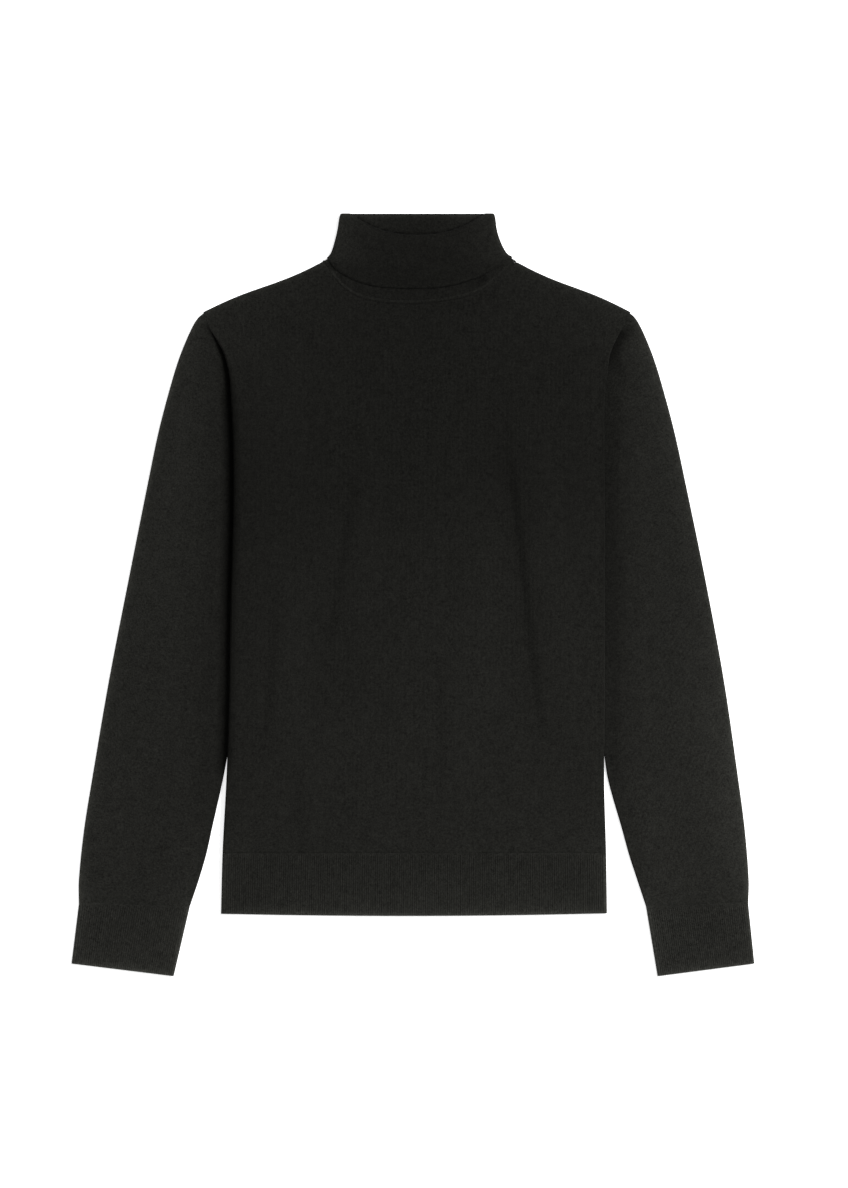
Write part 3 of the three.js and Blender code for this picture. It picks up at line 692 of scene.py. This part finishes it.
def make_cuff(name, side, material):
    inner, outer = inner_points(CUFF["inner"], side), outer_points(CUFF["outer"], side)
    shares = np.linspace(0, 1, CUFF_RIBS * RIB_STEPS + 1)
    stations = ring_stations(shares, shares)
    along = rows_up(HEM_HEIGHT)[:, None] * (1 + CUFF_REACH / HEM_HEIGHT)
    start, end = mix(inner[1], inner[0], along), mix(outer[1], outer[0], along)
    width = np.linalg.norm(end - start, axis=1)[:, None]

    def plan(share):
        return [mix(start[:, axis : axis + 1], end[:, axis : axis + 1], share) for axis in (0, 1)]

    def no_loft(x, y, inside):
        return np.zeros_like(x)

    share, _, up = stations
    rib = np.where(np.abs(up) == 1, rib_profile(share * CUFF_RIBS) - RIB_RISE * (up < 0), 0)
    from_seam = (1 - along) * HEM_HEIGHT + CUFF_REACH
    rib = rib * ease(from_seam, *CUFF_RIBS_RISE) - CUFF_DIP * seam_dip(from_seam)
    outside = flat_tube(stations, 1, plan, width, no_loft, rib)
    inside = flat_tube(stations, -1, plan, width, no_loft)
    uv = ring_uv(outside, outer_turn(shares))
    return tube(name, material, sleeve_painted_light, outside, inside, uv)


# The collar
def collar_top(x, frontness):
    across = np.minimum(1, np.abs(x - COLLAR_MIDDLE_X) / COLLAR_DIP_HALF_WIDTH)
    return COLLAR_TOP_Y - COLLAR_FRONT_DIP * frontness * (1 - across**COLLAR_DIP_CURVE)


def back_end(x):
    across = 2 * (x - COLLAR_MIDDLE_X) / (NECK_RIGHT - NECK_LEFT)
    return TURNDOWN_BACK_Y + TURNDOWN_BACK_RISE * np.abs(across) ** TURNDOWN_BACK_CURVE


def climb_start(x):
    return neck_seam["back"](x) + CLIMB_STARTS


def climb_end(x):
    return back_end(x) - CLIMB_ENDS


def neck_level(x, y):
    """The middle height of the neck's opening, which climbs onto the turned-down back."""
    climbed = np.clip((y - climb_start(x)) / (climb_end(x) - climb_start(x)), 0, 1)
    return LOW_Z + TURN_RADIUS + TURNED_OUT * climbed


# Stations up the stand, over the fold and down the turned-down part
COLLAR_STRIPS = [
    ("seam", 0),
    *[("climb", share) for share in np.linspace(0, 1, COLLAR_RINGS["climb"])],
    *[("rest", share) for share in np.linspace(0, 1, COLLAR_RINGS["rest"])[1:]],
    *[("fold", share) for share in np.linspace(0, 1, COLLAR_RINGS["fold"])[1:-1]],
    *[("turned", share) for share in rows_up(TURNED_LENGTH, COLLAR_STEP)],
]


def collar_height(part, share, x, frontness):
    top = collar_top(x, frontness) - OUTER_RADIUS
    if part == "turned":
        return mix(top, mix(back_end(x), front_end(x), frontness), share)
    if part == "fold":
        return top
    if part == "seam":
        return mix(neck_seam["back"](x), neck_seam["front"](x), frontness) + COLLAR_SEAM_GAP
    if part == "climb":
        return mix(climb_start(x), climb_end(x), share)
    return mix(climb_end(x), top, share)


def collar_ring(stations, part, share, face):
    across, out, up = stations
    angle = {"fold": math.pi * share, "turned": math.pi}.get(part, 0)
    middle = TURNED_OUT / 2 * (1 - math.cos(angle))
    radius = TURN_RADIUS + middle - face * math.cos(angle) * WALL / 2
    if part == "turned" and face > 0:
        radius -= EDGE_PRESS * ease(share, 1 - EDGE_ROUND / TURNED_LENGTH, 1)
    frontness = (1 + up) / 2
    widest = mix(NECK_LEFT + OUTER_RADIUS, NECK_RIGHT - OUTER_RADIUS, across)
    tucked = COLLAR_TUCK * np.abs(out) if part == "seam" else 0
    base = collar_height(part, share, widest, frontness) - tucked
    edge = OUTER_RADIUS + TURNED_OUT * ease(base, COLLAR_SIDE["y"][0], COLLAR_SIDE["y"][1])
    x = mix(collar_left(base) + edge, collar_right(base) - edge, across) + radius * out
    over = math.sin(angle) * (TURN_RADIUS + face * WALL / 2)
    y = collar_height(part, share, x, frontness) - tucked + over
    loft = COLLAR_LOFT * math.sin(math.pi * share) if part == "turned" else 0
    return np.stack([x, y, neck_level(x, y) + radius * up + loft * frontness], axis=-1)


def make_collar(material):
    shares = rows_up(NECK_RIGHT - NECK_LEFT, COLLAR_STEP)
    stations = ring_stations(shares, shares)
    outside, inside = (
        np.array([collar_ring(stations, part, share, face) for part, share in COLLAR_STRIPS])
        for face in (1, -1)
    )
    uv = ring_uv(outside, len(shares) // 2 + BEND_STEPS)
    return tube("collar_cloth", material, collar_painted_light, outside, inside, uv)


def make_neck_seam(material):
    start, end = NECK_LEFT + SEAM_ENDS["left"], NECK_RIGHT - SEAM_ENDS["right"]
    x = np.linspace(start, end, NECK_SEAM_STEPS["along"])
    line = np.stack([x, neck_seam["front"](x) + SEAM_OFFSET], axis=1)
    ahead = np.gradient(line, axis=0)
    ahead /= np.linalg.norm(ahead, axis=1, keepdims=True)
    outward = np.stack([ahead[:, 1], -ahead[:, 0]], axis=1)
    across = np.linspace(-1, 1, NECK_SEAM_STEPS["across"])
    place = line[:, None, :] + outward[:, None, :] * (across * SEAM_HALF_WIDTH)[None, :, None]
    height = SEAM_RISE * np.cos(math.pi / 2 * across) ** 2
    fade = ease(x - start, *SEAM_FADE["left"]) * ease(end - x, *SEAM_FADE["right"])
    top = TOP_Z + WALL / 2 - SEAM_SUNK + height[None, :] * fade[:, None]
    upper = np.concatenate([place, top[..., None]], axis=-1)
    lower = np.concatenate([place, np.full(top.shape, TOP_Z)[..., None]], axis=-1)
    along = np.broadcast_to(lengths(line)[:, None], top.shape)
    uv = np.stack([np.broadcast_to(across * SEAM_HALF_WIDTH, top.shape), along], axis=-1)
    return sheet("neck_seam", material, seam_painted_light, upper, lower, uv)


# Light and shade painted into the cloth's colour: a painted highlight along the outline, and
# painted shade where the body and the sleeves meet. First, how light the body and each sleeve are
# painted at a height: the wool's overall darkness, with painted shade that mostly deepens upwards
# body and the sleeves meet. First, how light the body and each sleeve are at a height
BODY_PAINTED_LIGHT = {
    "y": [-304, -262, -136, -53, 31, 115, 219, 282, 324, 400],
    "painted_light": [0.74, 0.70, 0.67, 0.63, 0.57, 0.465, 0.45, 0.43, 0.385, 0.335],
}
SLEEVE_PAINTED_LIGHT = {
    "y": [-390, -330, -300, -200, -100, 30, 200, 290],
    "left": [0.82, 0.78, 0.76, 0.73, 0.69, 0.69, 0.65, 0.62],
    "right": [0.80, 0.80, 0.84, 0.84, 0.79, 0.70, 0.645, 0.62],
}
# Painted light and shade of broad swells of the front: where each is lightest or darkest, and by
# how much
PAINTED_SWELLS = {
    "x": [75, -78, 124],
    "width": [22, 36, 15],
    "low": [-120, -120, 60],
    "high": [90, 0, 170],
    "change": [0.07, -0.05, -0.08],
}
SWELL_END = 30  # half the distance over which a swell comes or goes
# Painted light and shade across the body: how much lighter it is painted at each side than at its
# middle, low down and high up, and between what heights that changes
SIDEWAYS_PAINTED_LIGHT = {
    -1: {"low": -0.07, "high": 0.12, "between": (60, 220)},
    1: {"low": 0.03, "high": 0.07, "between": (0, 100)},
}
HALF_BODY = 200  # about half the body's width
# Painted shade beside the body's left edge
LEFT_PAINTED_SHADE = {"dark": 0.14, "reach": 22, "gone": (200, 250)}  # beside the body's left edge
# A painted highlight along the outline: a broad soft band, stronger at the shoulders, and a narrow
# bright one
PAINTED_RIM_LIGHT = {"broad_painted_light": 0.40, "shoulders": 0.15, "from": (225, 260), "reach": 32}
PAINTED_RIM_HIGHLIGHT = {"light": 1.7, "reach": 2.3}
# Painted shade on the sleeves near the body, above the cuffs, and on the right one also in its
# upper middle
SLEEVE_SHADE_NEAR_BODY = {"dark": 0.2, "away": (0, 50), "up": (-330, -250)}
RIGHT_SLEEVE_MIDDLE_SHADE = {"dark": 0.13, "away": (45, 100), "up": (-170, 0)}
# Painted shade where the body and the sleeves meet. For each side, along the armhole and at its
# top: how little light the painted shade leaves beside the edge, and from what distance to what
# distance it comes back; from what height the top counts; and how much of the dark goes away
# towards the armpit
CREVICE_PAINTED_SHADE = {
    -1: {
        "sleeve": [(0.28, 4, 15), (0.17, 1.4, 5)],
        "body": [(0.45, 0, 10), (0.8, 0, 4)],
        "top": (190, 255),
        "low": 0.25,
    },
    1: {
        "sleeve": [(0.84, 0, 30), (0.38, 0, 18)],
        "body": [(0.75, 0, 6), (0.95, 0, 3)],
        "top": (228, 252),
        "low": 0.5,
    },
}
CREVICE_STARTS = (-195, -175)  # between these heights it begins, at the armpit
CREVICE_DEEPENS = (-90, 40)
CREVICE_ENDS = (270, 290)
# The collar: painted shade in a line in the opening behind the fold, painted light and shade on the
# inside face above it, and painted light towards the sides
OPENING_PAINTED_SHADE = {"dark": 0.6, "behind": 0.6, "width": 1.4, "ends": (66, 72)}
INSIDE_PAINTED_LIGHT = {"dark": 0.07, "light_at_ends": 0.35, "behind": (1.5, 6)}
COLLAR_SIDES_PAINTED_LIGHT = {"middle": 0.97, "more": 0.25, "away": (30, 80), "up": (335, 360)}
# How dark the turned-down edge is painted, as painted shade, and below zero how light, as painted
# light that evens out the shadow beside it
TURNED_EDGE_PAINTED_SHADING = {
    "x": [-88, -80, -70, -50, 10, 50, 72, 90, 100],
    "dark": [-0.6, -0.5, -0.2, 0, 0, 0.42, 0.5, 0.15, 0],
}
TURNED_EDGE_WIDTH = 1.0
# The neck seam: a painted highlight along its ridge and painted shade in a groove on each side of
# it
SEAM_PAINTED_HIGHLIGHT = {"light": 0.32, "width": 1.1}
SEAM_PAINTED_SHADE = {"dark": 0.2, "beside": 2.7, "width": 0.9}
# The hem's part of the outline: its two corners, and between what heights its sides show
HEM_CORNER_X = {"left": -202, "right": 203}
HEM_SIDE_Y = (-334, -275)


def hump(distance, width):
    """1 at no distance, and next to nothing beyond two widths."""
    return np.exp(-((distance / width) ** 2))


def outline():
    """The sweater's outline from above, as pieces of line."""
    hem_x = [HEM_CORNER_X["left"], 0, HEM_CORNER_X["right"]]
    hem_y = [hem_end(share) for share in (0, 0.5, 1)]
    lines = [np.stack([hem_x, hem_y], axis=1)]
    for side, collar_edge in ((-1, "left"), (1, "right")):
        y = np.linspace(*HEM_SIDE_Y, 5)
        lines.append(np.stack([edge_at(side, y), y], axis=1))
        ends = [inner_points(CUFF["inner"], side), outer_points(CUFF["outer"], side)[::-1]]
        lines.append(np.concatenate(ends))
        lines.append(outer_points(SLEEVE_OUTER, side))
        neck = NECK_LEFT if side < 0 else NECK_RIGHT
        x = np.linspace(edge_at(side, SHOULDER_Y), neck + side, 9)
        lines.append(np.stack([x, top_edge(x, "front")], axis=1))
        lines.append(np.stack([COLLAR_SIDE[collar_edge], COLLAR_SIDE["y"]], axis=1))
    lines.append(np.array([[COLLAR_SIDE[key][-1], COLLAR_TOP_Y] for key in ("left", "right")]))
    return lines


def from_outline(x, y):
    """Distance from the outline."""
    place = np.stack([x, y], axis=-1)
    nearest = np.full(x.shape, np.inf)
    for line in outline():
        for start, end in zip(line[:-1], line[1:]):
            along = np.clip((place - start) @ (end - start) / np.sum((end - start) ** 2), 0, 1)
            gap = place - start - along[..., None] * (end - start)
            nearest = np.minimum(nearest, np.hypot(gap[..., 0], gap[..., 1]))
    return nearest


# A painted highlight along the outline, broad and soft with a narrow bright band at the edge
def painted_rim_light(x, y):
    distance = from_outline(x, y)
    broad_painted_light = PAINTED_RIM_LIGHT["broad_painted_light"] + PAINTED_RIM_LIGHT["shoulders"] * ease(y, *PAINTED_RIM_LIGHT["from"])
    narrow_highlight = PAINTED_RIM_HIGHLIGHT["light"] * np.exp(-distance / PAINTED_RIM_HIGHLIGHT["reach"])
    return 1 + broad_painted_light * np.exp(-distance / PAINTED_RIM_LIGHT["reach"]) + narrow_highlight


def painted_crevice_shade(x, y, piece):
    """How much light the painted shade leaves near where body and sleeve meet, on one of the two.
    """
    light = np.ones_like(x)
    present = (1 - ease(y, *CREVICE_ENDS)) * ease(y, *CREVICE_STARTS)
    for side, depth in CREVICE_PAINTED_SHADE.items():
        away = side * (x - edge_at(side, y)) * (1 if piece == "sleeve" else -1)
        upper = ease(y, *depth["top"])
        deepest, start, end = (mix(along, top, upper) for along, top in zip(*depth[piece]))
        deepest = mix(deepest, 1, depth["low"] * (1 - ease(y, *CREVICE_DEEPENS)))
        near = mix(deepest, 1, ease(away, start, end))
        light *= np.where(x * side > 0, mix(1, near, present), 1)
    return light


# Painted light and shade of the front's broad swells
def painted_swells(x, y):
    light = np.ones_like(x)
    for middle, width, low, high, change in zip(*PAINTED_SWELLS.values()):
        starts, ends = (ease(y, at - SWELL_END, at + SWELL_END) for at in (low, high))
        light += change * starts * (1 - ends) * hump(x - middle, width)
    return light


# Painted light and shade across the body, lighter or darker towards each side
def painted_light_sideways(x, y):
    left, right = (
        mix(edge["low"], edge["high"], ease(y, *edge["between"])) for edge in SIDEWAYS_PAINTED_LIGHT.values()
    )
    return 1 + np.where(x > 0, right, left) * np.abs(x) / HALF_BODY


# Painted light and shade of the body: by height, across, beside the left edge, on the swells, along
# the outline and where it meets the sleeves
def body_painted_light(x, y):
    painted_light = np.interp(y, BODY_PAINTED_LIGHT["y"], BODY_PAINTED_LIGHT["painted_light"])
    # Painted shade beside the body's left edge, gone towards the shoulder
    left_shade_falloff = np.exp(-(x - edge_at(-1, y)) / LEFT_PAINTED_SHADE["reach"])
    left = 1 - LEFT_PAINTED_SHADE["dark"] * left_shade_falloff * (1 - ease(y, *LEFT_PAINTED_SHADE["gone"]))
    broad_painted_light = painted_light_sideways(x, y) * left * painted_swells(x, y)
    return painted_light * broad_painted_light * painted_rim_light(x, y) * painted_crevice_shade(x, y, "body")


def collar_painted_light(x, y):
    """Painted shade in the opening behind the fold and at the turned-down edge, painted light along
    the left part of that edge, painted light and shade on the inside face behind the fold, and
    painted light towards the sides.
    """
    off_middle = np.abs(x - COLLAR_MIDDLE_X)
    behind = y - collar_top(x, 1) - OPENING_PAINTED_SHADE["behind"]
    in_dip = 1 - ease(off_middle, *OPENING_PAINTED_SHADE["ends"])
    opening_shade = OPENING_PAINTED_SHADE["dark"] * in_dip * hump(behind, OPENING_PAINTED_SHADE["width"])
    # Painted shade at the turned-down edge, or painted light where the table is below zero
    edge = np.interp(x, TURNED_EDGE_PAINTED_SHADING["x"], TURNED_EDGE_PAINTED_SHADING["dark"])
    edge = edge * hump(front_end(x) - y, TURNED_EDGE_WIDTH)
    share = np.minimum(1, off_middle / COLLAR_DIP_HALF_WIDTH)
    inside_light = (INSIDE_PAINTED_LIGHT["light_at_ends"] * share**2 - INSIDE_PAINTED_LIGHT["dark"]) * ease(behind, *INSIDE_PAINTED_LIGHT["behind"])
    side_light = ease(off_middle, *COLLAR_SIDES_PAINTED_LIGHT["away"]) * ease(y, *COLLAR_SIDES_PAINTED_LIGHT["up"])
    side_light = COLLAR_SIDES_PAINTED_LIGHT["middle"] + COLLAR_SIDES_PAINTED_LIGHT["more"] * side_light
    return body_painted_light(x, y) * (1 - opening_shade) * (1 - edge) * (1 + inside_light * in_dip) * side_light


# Painted highlight along the neck seam's ridge and painted shade in the grooves beside it
def seam_painted_light(x, y):
    slope = neck_seam["front"](x + 0.5) - neck_seam["front"](x - 0.5)
    beside = np.abs(y - neck_seam["front"](x) - SEAM_OFFSET) / np.hypot(1, slope)
    ridge_highlight = SEAM_PAINTED_HIGHLIGHT["light"] * hump(beside, SEAM_PAINTED_HIGHLIGHT["width"])
    groove_shade = SEAM_PAINTED_SHADE["dark"] * hump(beside - SEAM_PAINTED_SHADE["beside"], SEAM_PAINTED_SHADE["width"])
    return body_painted_light(x, y) * (1 + ridge_highlight - groove_shade)


# Painted light and shade of a sleeve: by height, near the body, along the outline and where it
# meets the body
def sleeve_painted_light(x, y):
    side = -1 if x.mean() < 0 else 1
    painted_light = np.interp(y, SLEEVE_PAINTED_LIGHT["y"], SLEEVE_PAINTED_LIGHT["left" if side < 0 else "right"])
    away = side * (x - edge_at(side, y))
    # Painted shade near the body, and on the right sleeve in its upper middle
    painted_shade_near_body = (1 - ease(away, *SLEEVE_SHADE_NEAR_BODY["away"])) * ease(y, *SLEEVE_SHADE_NEAR_BODY["up"])
    broad_painted_light = 1 - SLEEVE_SHADE_NEAR_BODY["dark"] * painted_shade_near_body
    if side > 0:
        middle = ease(away, *RIGHT_SLEEVE_MIDDLE_SHADE["away"]) * ease(y, *RIGHT_SLEEVE_MIDDLE_SHADE["up"])
        broad_painted_light *= 1 - RIGHT_SLEEVE_MIDDLE_SHADE["dark"] * middle
    return painted_light * broad_painted_light * painted_rim_light(x, y) * painted_crevice_shade(x, y, "sleeve")


# Materials
WALE = 1.35 * MM  # width of one column of stitches
COURSE = 1.0 * MM  # height of one stitch
STITCH_SLANT = 0.8  # of a course, from the middle of a stitch to its sides
STITCH_ROUNDNESS = 2.5  # the higher, the steeper the stitch falls off at its sides
DARK_WOOL = (0.0040, 0.0040, 0.0035, 1)
LIGHT_WOOL = (0.0282, 0.0284, 0.0250, 1)
# The wool's mottling: how fine each noise is, and how much it counts
MOTTLING = {
    "fuzz": {"Scale": 700, "Detail": 3, "Roughness": 0.65, "weight": 1.55},
    "clumps": {"Scale": 330, "Detail": 2, "Roughness": 0.5, "weight": 0.62},
    "patches": {"Scale": 110, "Detail": 1, "Roughness": 0.5, "weight": 0.25},
}
STITCH_WEIGHT = 0.08  # and how much the height of the stitches counts
LIGHTNESS = 0.47  # the share of light wool where every noise is at its middle
# How deep the bumps are of the fuzz, and of the stitches on the plain knit and on the ribs
FUZZ_DEPTH = 0.7 * MM
JERSEY_DEPTH = 0.35 * MM
RIBBING_DEPTH = 0.25 * MM


class Nodes:
    """A few words for building a node tree."""

    def __init__(self, material):
        self.tree = material.node_tree
        self.tree.nodes.clear()

    def add(self, kind, inputs=(), **settings):
        node = self.tree.nodes.new("ShaderNode" + kind)
        for key, value in settings.items():
            setattr(node, key, value)
        for key, value in dict(inputs).items():
            if isinstance(value, bpy.types.NodeSocket):
                self.tree.links.new(value, node.inputs[key])
            else:
                node.inputs[key].default_value = value
        return node

    def math(self, operation, first, second=0.0, third=0.0):
        inputs = {0: first, 1: second, 2: third}
        return self.add("Math", inputs, operation=operation).outputs[0]


def stitches(nodes):
    """Height of a plain knit: columns of small V shapes, 0 to 1."""
    uv = nodes.add("UVMap", uv_map="cloth").outputs[0]
    place = nodes.add("SeparateXYZ", {0: uv})
    wale = nodes.math("FRACT", nodes.math("DIVIDE", place.outputs[0], WALE))
    aside = nodes.math("ABSOLUTE", nodes.math("MULTIPLY_ADD", wale, 2.0, -1.0))
    course = nodes.math("DIVIDE", place.outputs[1], COURSE)
    slanted = nodes.math("FRACT", nodes.math("MULTIPLY_ADD", aside, STITCH_SLANT, course))
    bow = nodes.math("SINE", nodes.math("MULTIPLY", slanted, math.pi))
    round_off = nodes.math("SUBTRACT", 1.0, nodes.math("POWER", aside, STITCH_ROUNDNESS))
    return nodes.math("MULTIPLY", nodes.math("MULTIPLY_ADD", bow, 0.5, 0.5), round_off)


def mottling(nodes, height):
    """The share of light wool at each place, and the finest of its noises."""
    place = nodes.add("TexCoord").outputs["Object"]
    rest = LIGHTNESS - sum(noise["weight"] for noise in MOTTLING.values()) / 2
    share = nodes.math("MULTIPLY_ADD", height, STITCH_WEIGHT, rest)
    noises = {}
    for name, noise in MOTTLING.items():
        inputs = {key: noise[key] for key in ("Scale", "Detail", "Roughness")}
        noises[name] = nodes.add("TexNoise", {"Vector": place, **inputs}).outputs[0]
        share = nodes.math("MULTIPLY_ADD", noises[name], noise["weight"], share)
    return share, noises["fuzz"]


def knit(name, stitch_depth):
    material = bpy.data.materials.new(name)
    material.use_nodes = True
    nodes = Nodes(material)
    height = stitches(nodes)
    share, fuzz = mottling(nodes, height)
    # Of a Mix node's sockets, 0 is the factor and 6 and 7 are the two colours
    wool = nodes.add(
        "Mix", {0: share, 6: DARK_WOOL, 7: LIGHT_WOOL}, data_type="RGBA", clamp_factor=True
    )
    # The wool's colour is multiplied by the painted light and shade kept on the mesh's points
    painted_light = nodes.add("Attribute", attribute_name="painted_light").outputs["Color"]
    colour = nodes.add(
        "Mix", {0: 1.0, 6: wool.outputs[2], 7: painted_light}, data_type="RGBA", blend_type="MULTIPLY"
    )
    coarse = nodes.add("Bump", {"Strength": 0.5, "Distance": FUZZ_DEPTH, "Height": fuzz})
    fine = nodes.add("Bump", {
        "Strength": 0.8,
        "Distance": stitch_depth,
        "Height": height,
        "Normal": coarse.outputs[0],
    })
    shader = nodes.add("BsdfPrincipled", {
        "Base Color": colour.outputs[2],
        "Roughness": 0.95,
        "Specular IOR Level": 0.02,
        "Sheen Weight": 0.02,
        "Sheen Roughness": 0.45,
        "Normal": fine.outputs[0],
    })
    nodes.add("OutputMaterial", {"Surface": shader.outputs[0]})
    return material


def paper(name):
    """White paper that is also lit from below, as on a light table."""
    material = bpy.data.materials.new(name)
    material.use_nodes = True
    shader = material.node_tree.nodes["Principled BSDF"]
    shader.inputs["Base Color"].default_value = (0.92, 0.92, 0.92, 1)
    shader.inputs["Roughness"].default_value = 0.9
    shader.inputs["Specular IOR Level"].default_value = 0.1
    shader.inputs["Emission Color"].default_value = (1, 1, 1, 1)
    shader.inputs["Emission Strength"].default_value = 0.6
    return material


# The camera: straight above, framed as the photograph
FRAME_HEIGHT = 1188  # pixels
MM_PER_PIXEL = 1.046
CAMERA_HEIGHT = 3.2  # metres
PHOTO_CENTRE = (11.5, 0.7)  # where the middle of the photograph lies, in millimetres


def make_camera():
    data = bpy.data.cameras.new("camera")
    data.lens = data.sensor_width * CAMERA_HEIGHT / (FRAME_HEIGHT * MM_PER_PIXEL * MM)
    data.clip_end = 50
    camera = bpy.data.objects.new("camera", data)
    camera.location = (PHOTO_CENTRE[0] * MM, PHOTO_CENTRE[1] * MM, CAMERA_HEIGHT)
    bpy.context.collection.objects.link(camera)
    bpy.context.scene.camera = camera


# Lights and floor, in metres and watts
LIGHTS = {
    "key": {"place": (3.2, 1.9, 3.7), "target": (0, 0, 0), "size": 2.4, "power": 400},
    "fill": {"place": (-2.6, -1.4, 3.0), "target": (0, 0, 0), "size": 2.5, "power": 22},
    "top": {"place": (0, -0.3, 4.2), "target": (0, -0.1, 0), "size": 2.5, "power": 22},
}
SKY = 0.2  # strength of the white light from all round
FLOOR_SIZE = 12
FLOOR_Z = -0.05 * MM  # a hair below the cloth


def area_light(name, place, target, size, power):
    data = bpy.data.lights.new(name, "AREA")
    data.shape, data.size, data.energy = "DISK", size, power
    light = bpy.data.objects.new(name, data)
    light.location = place
    away = light.location - Vector(target)
    light.rotation_euler = away.to_track_quat("Z", "Y").to_euler()
    bpy.context.collection.objects.link(light)


def light_the_scene():
    for name, light in LIGHTS.items():
        area_light(name, **light)
    world = bpy.data.worlds.new("studio")
    world.use_nodes = True
    background = world.node_tree.nodes["Background"]
    background.inputs["Color"].default_value = (1, 1, 1, 1)
    background.inputs["Strength"].default_value = SKY
    bpy.context.scene.world = world


def make_floor():
    bpy.ops.mesh.primitive_plane_add(size=FLOOR_SIZE, location=(0, 0, FLOOR_Z))
    floor = bpy.context.object
    floor.name = "floor"
    floor.data.materials.append(paper("white_floor"))


# The sweater
jersey = knit("jersey_knit", JERSEY_DEPTH)
ribbing = knit("rib_knit", RIBBING_DEPTH)
jersey_pieces = {
    "front": make_front(jersey),
    "back": make_back(jersey),
    "sleeve_left": make_sleeve("sleeve_left_cloth", -1, jersey),
    "sleeve_right": make_sleeve("sleeve_right_cloth", 1, jersey),
    "collar": make_collar(jersey),
}
rib_pieces = {
    "hem_front": make_hem_front(ribbing),
    "hem_back": make_hem_back(ribbing),
    "cuff_left": make_cuff("cuff_left_cloth", -1, ribbing),
    "cuff_right": make_cuff("cuff_right_cloth", 1, ribbing),
}
neck_seam_piece = make_neck_seam(jersey)
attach(neck_seam_piece, "root")
for pieces, slot in ((jersey_pieces, "jersey_knit"), (rib_pieces, "rib_knit")):
    for node, piece in pieces.items():
        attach(piece, "root")
        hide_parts(node)

make_floor()
light_the_scene()
make_camera()
bpy.context.scene.view_settings.view_transform = "Standard"
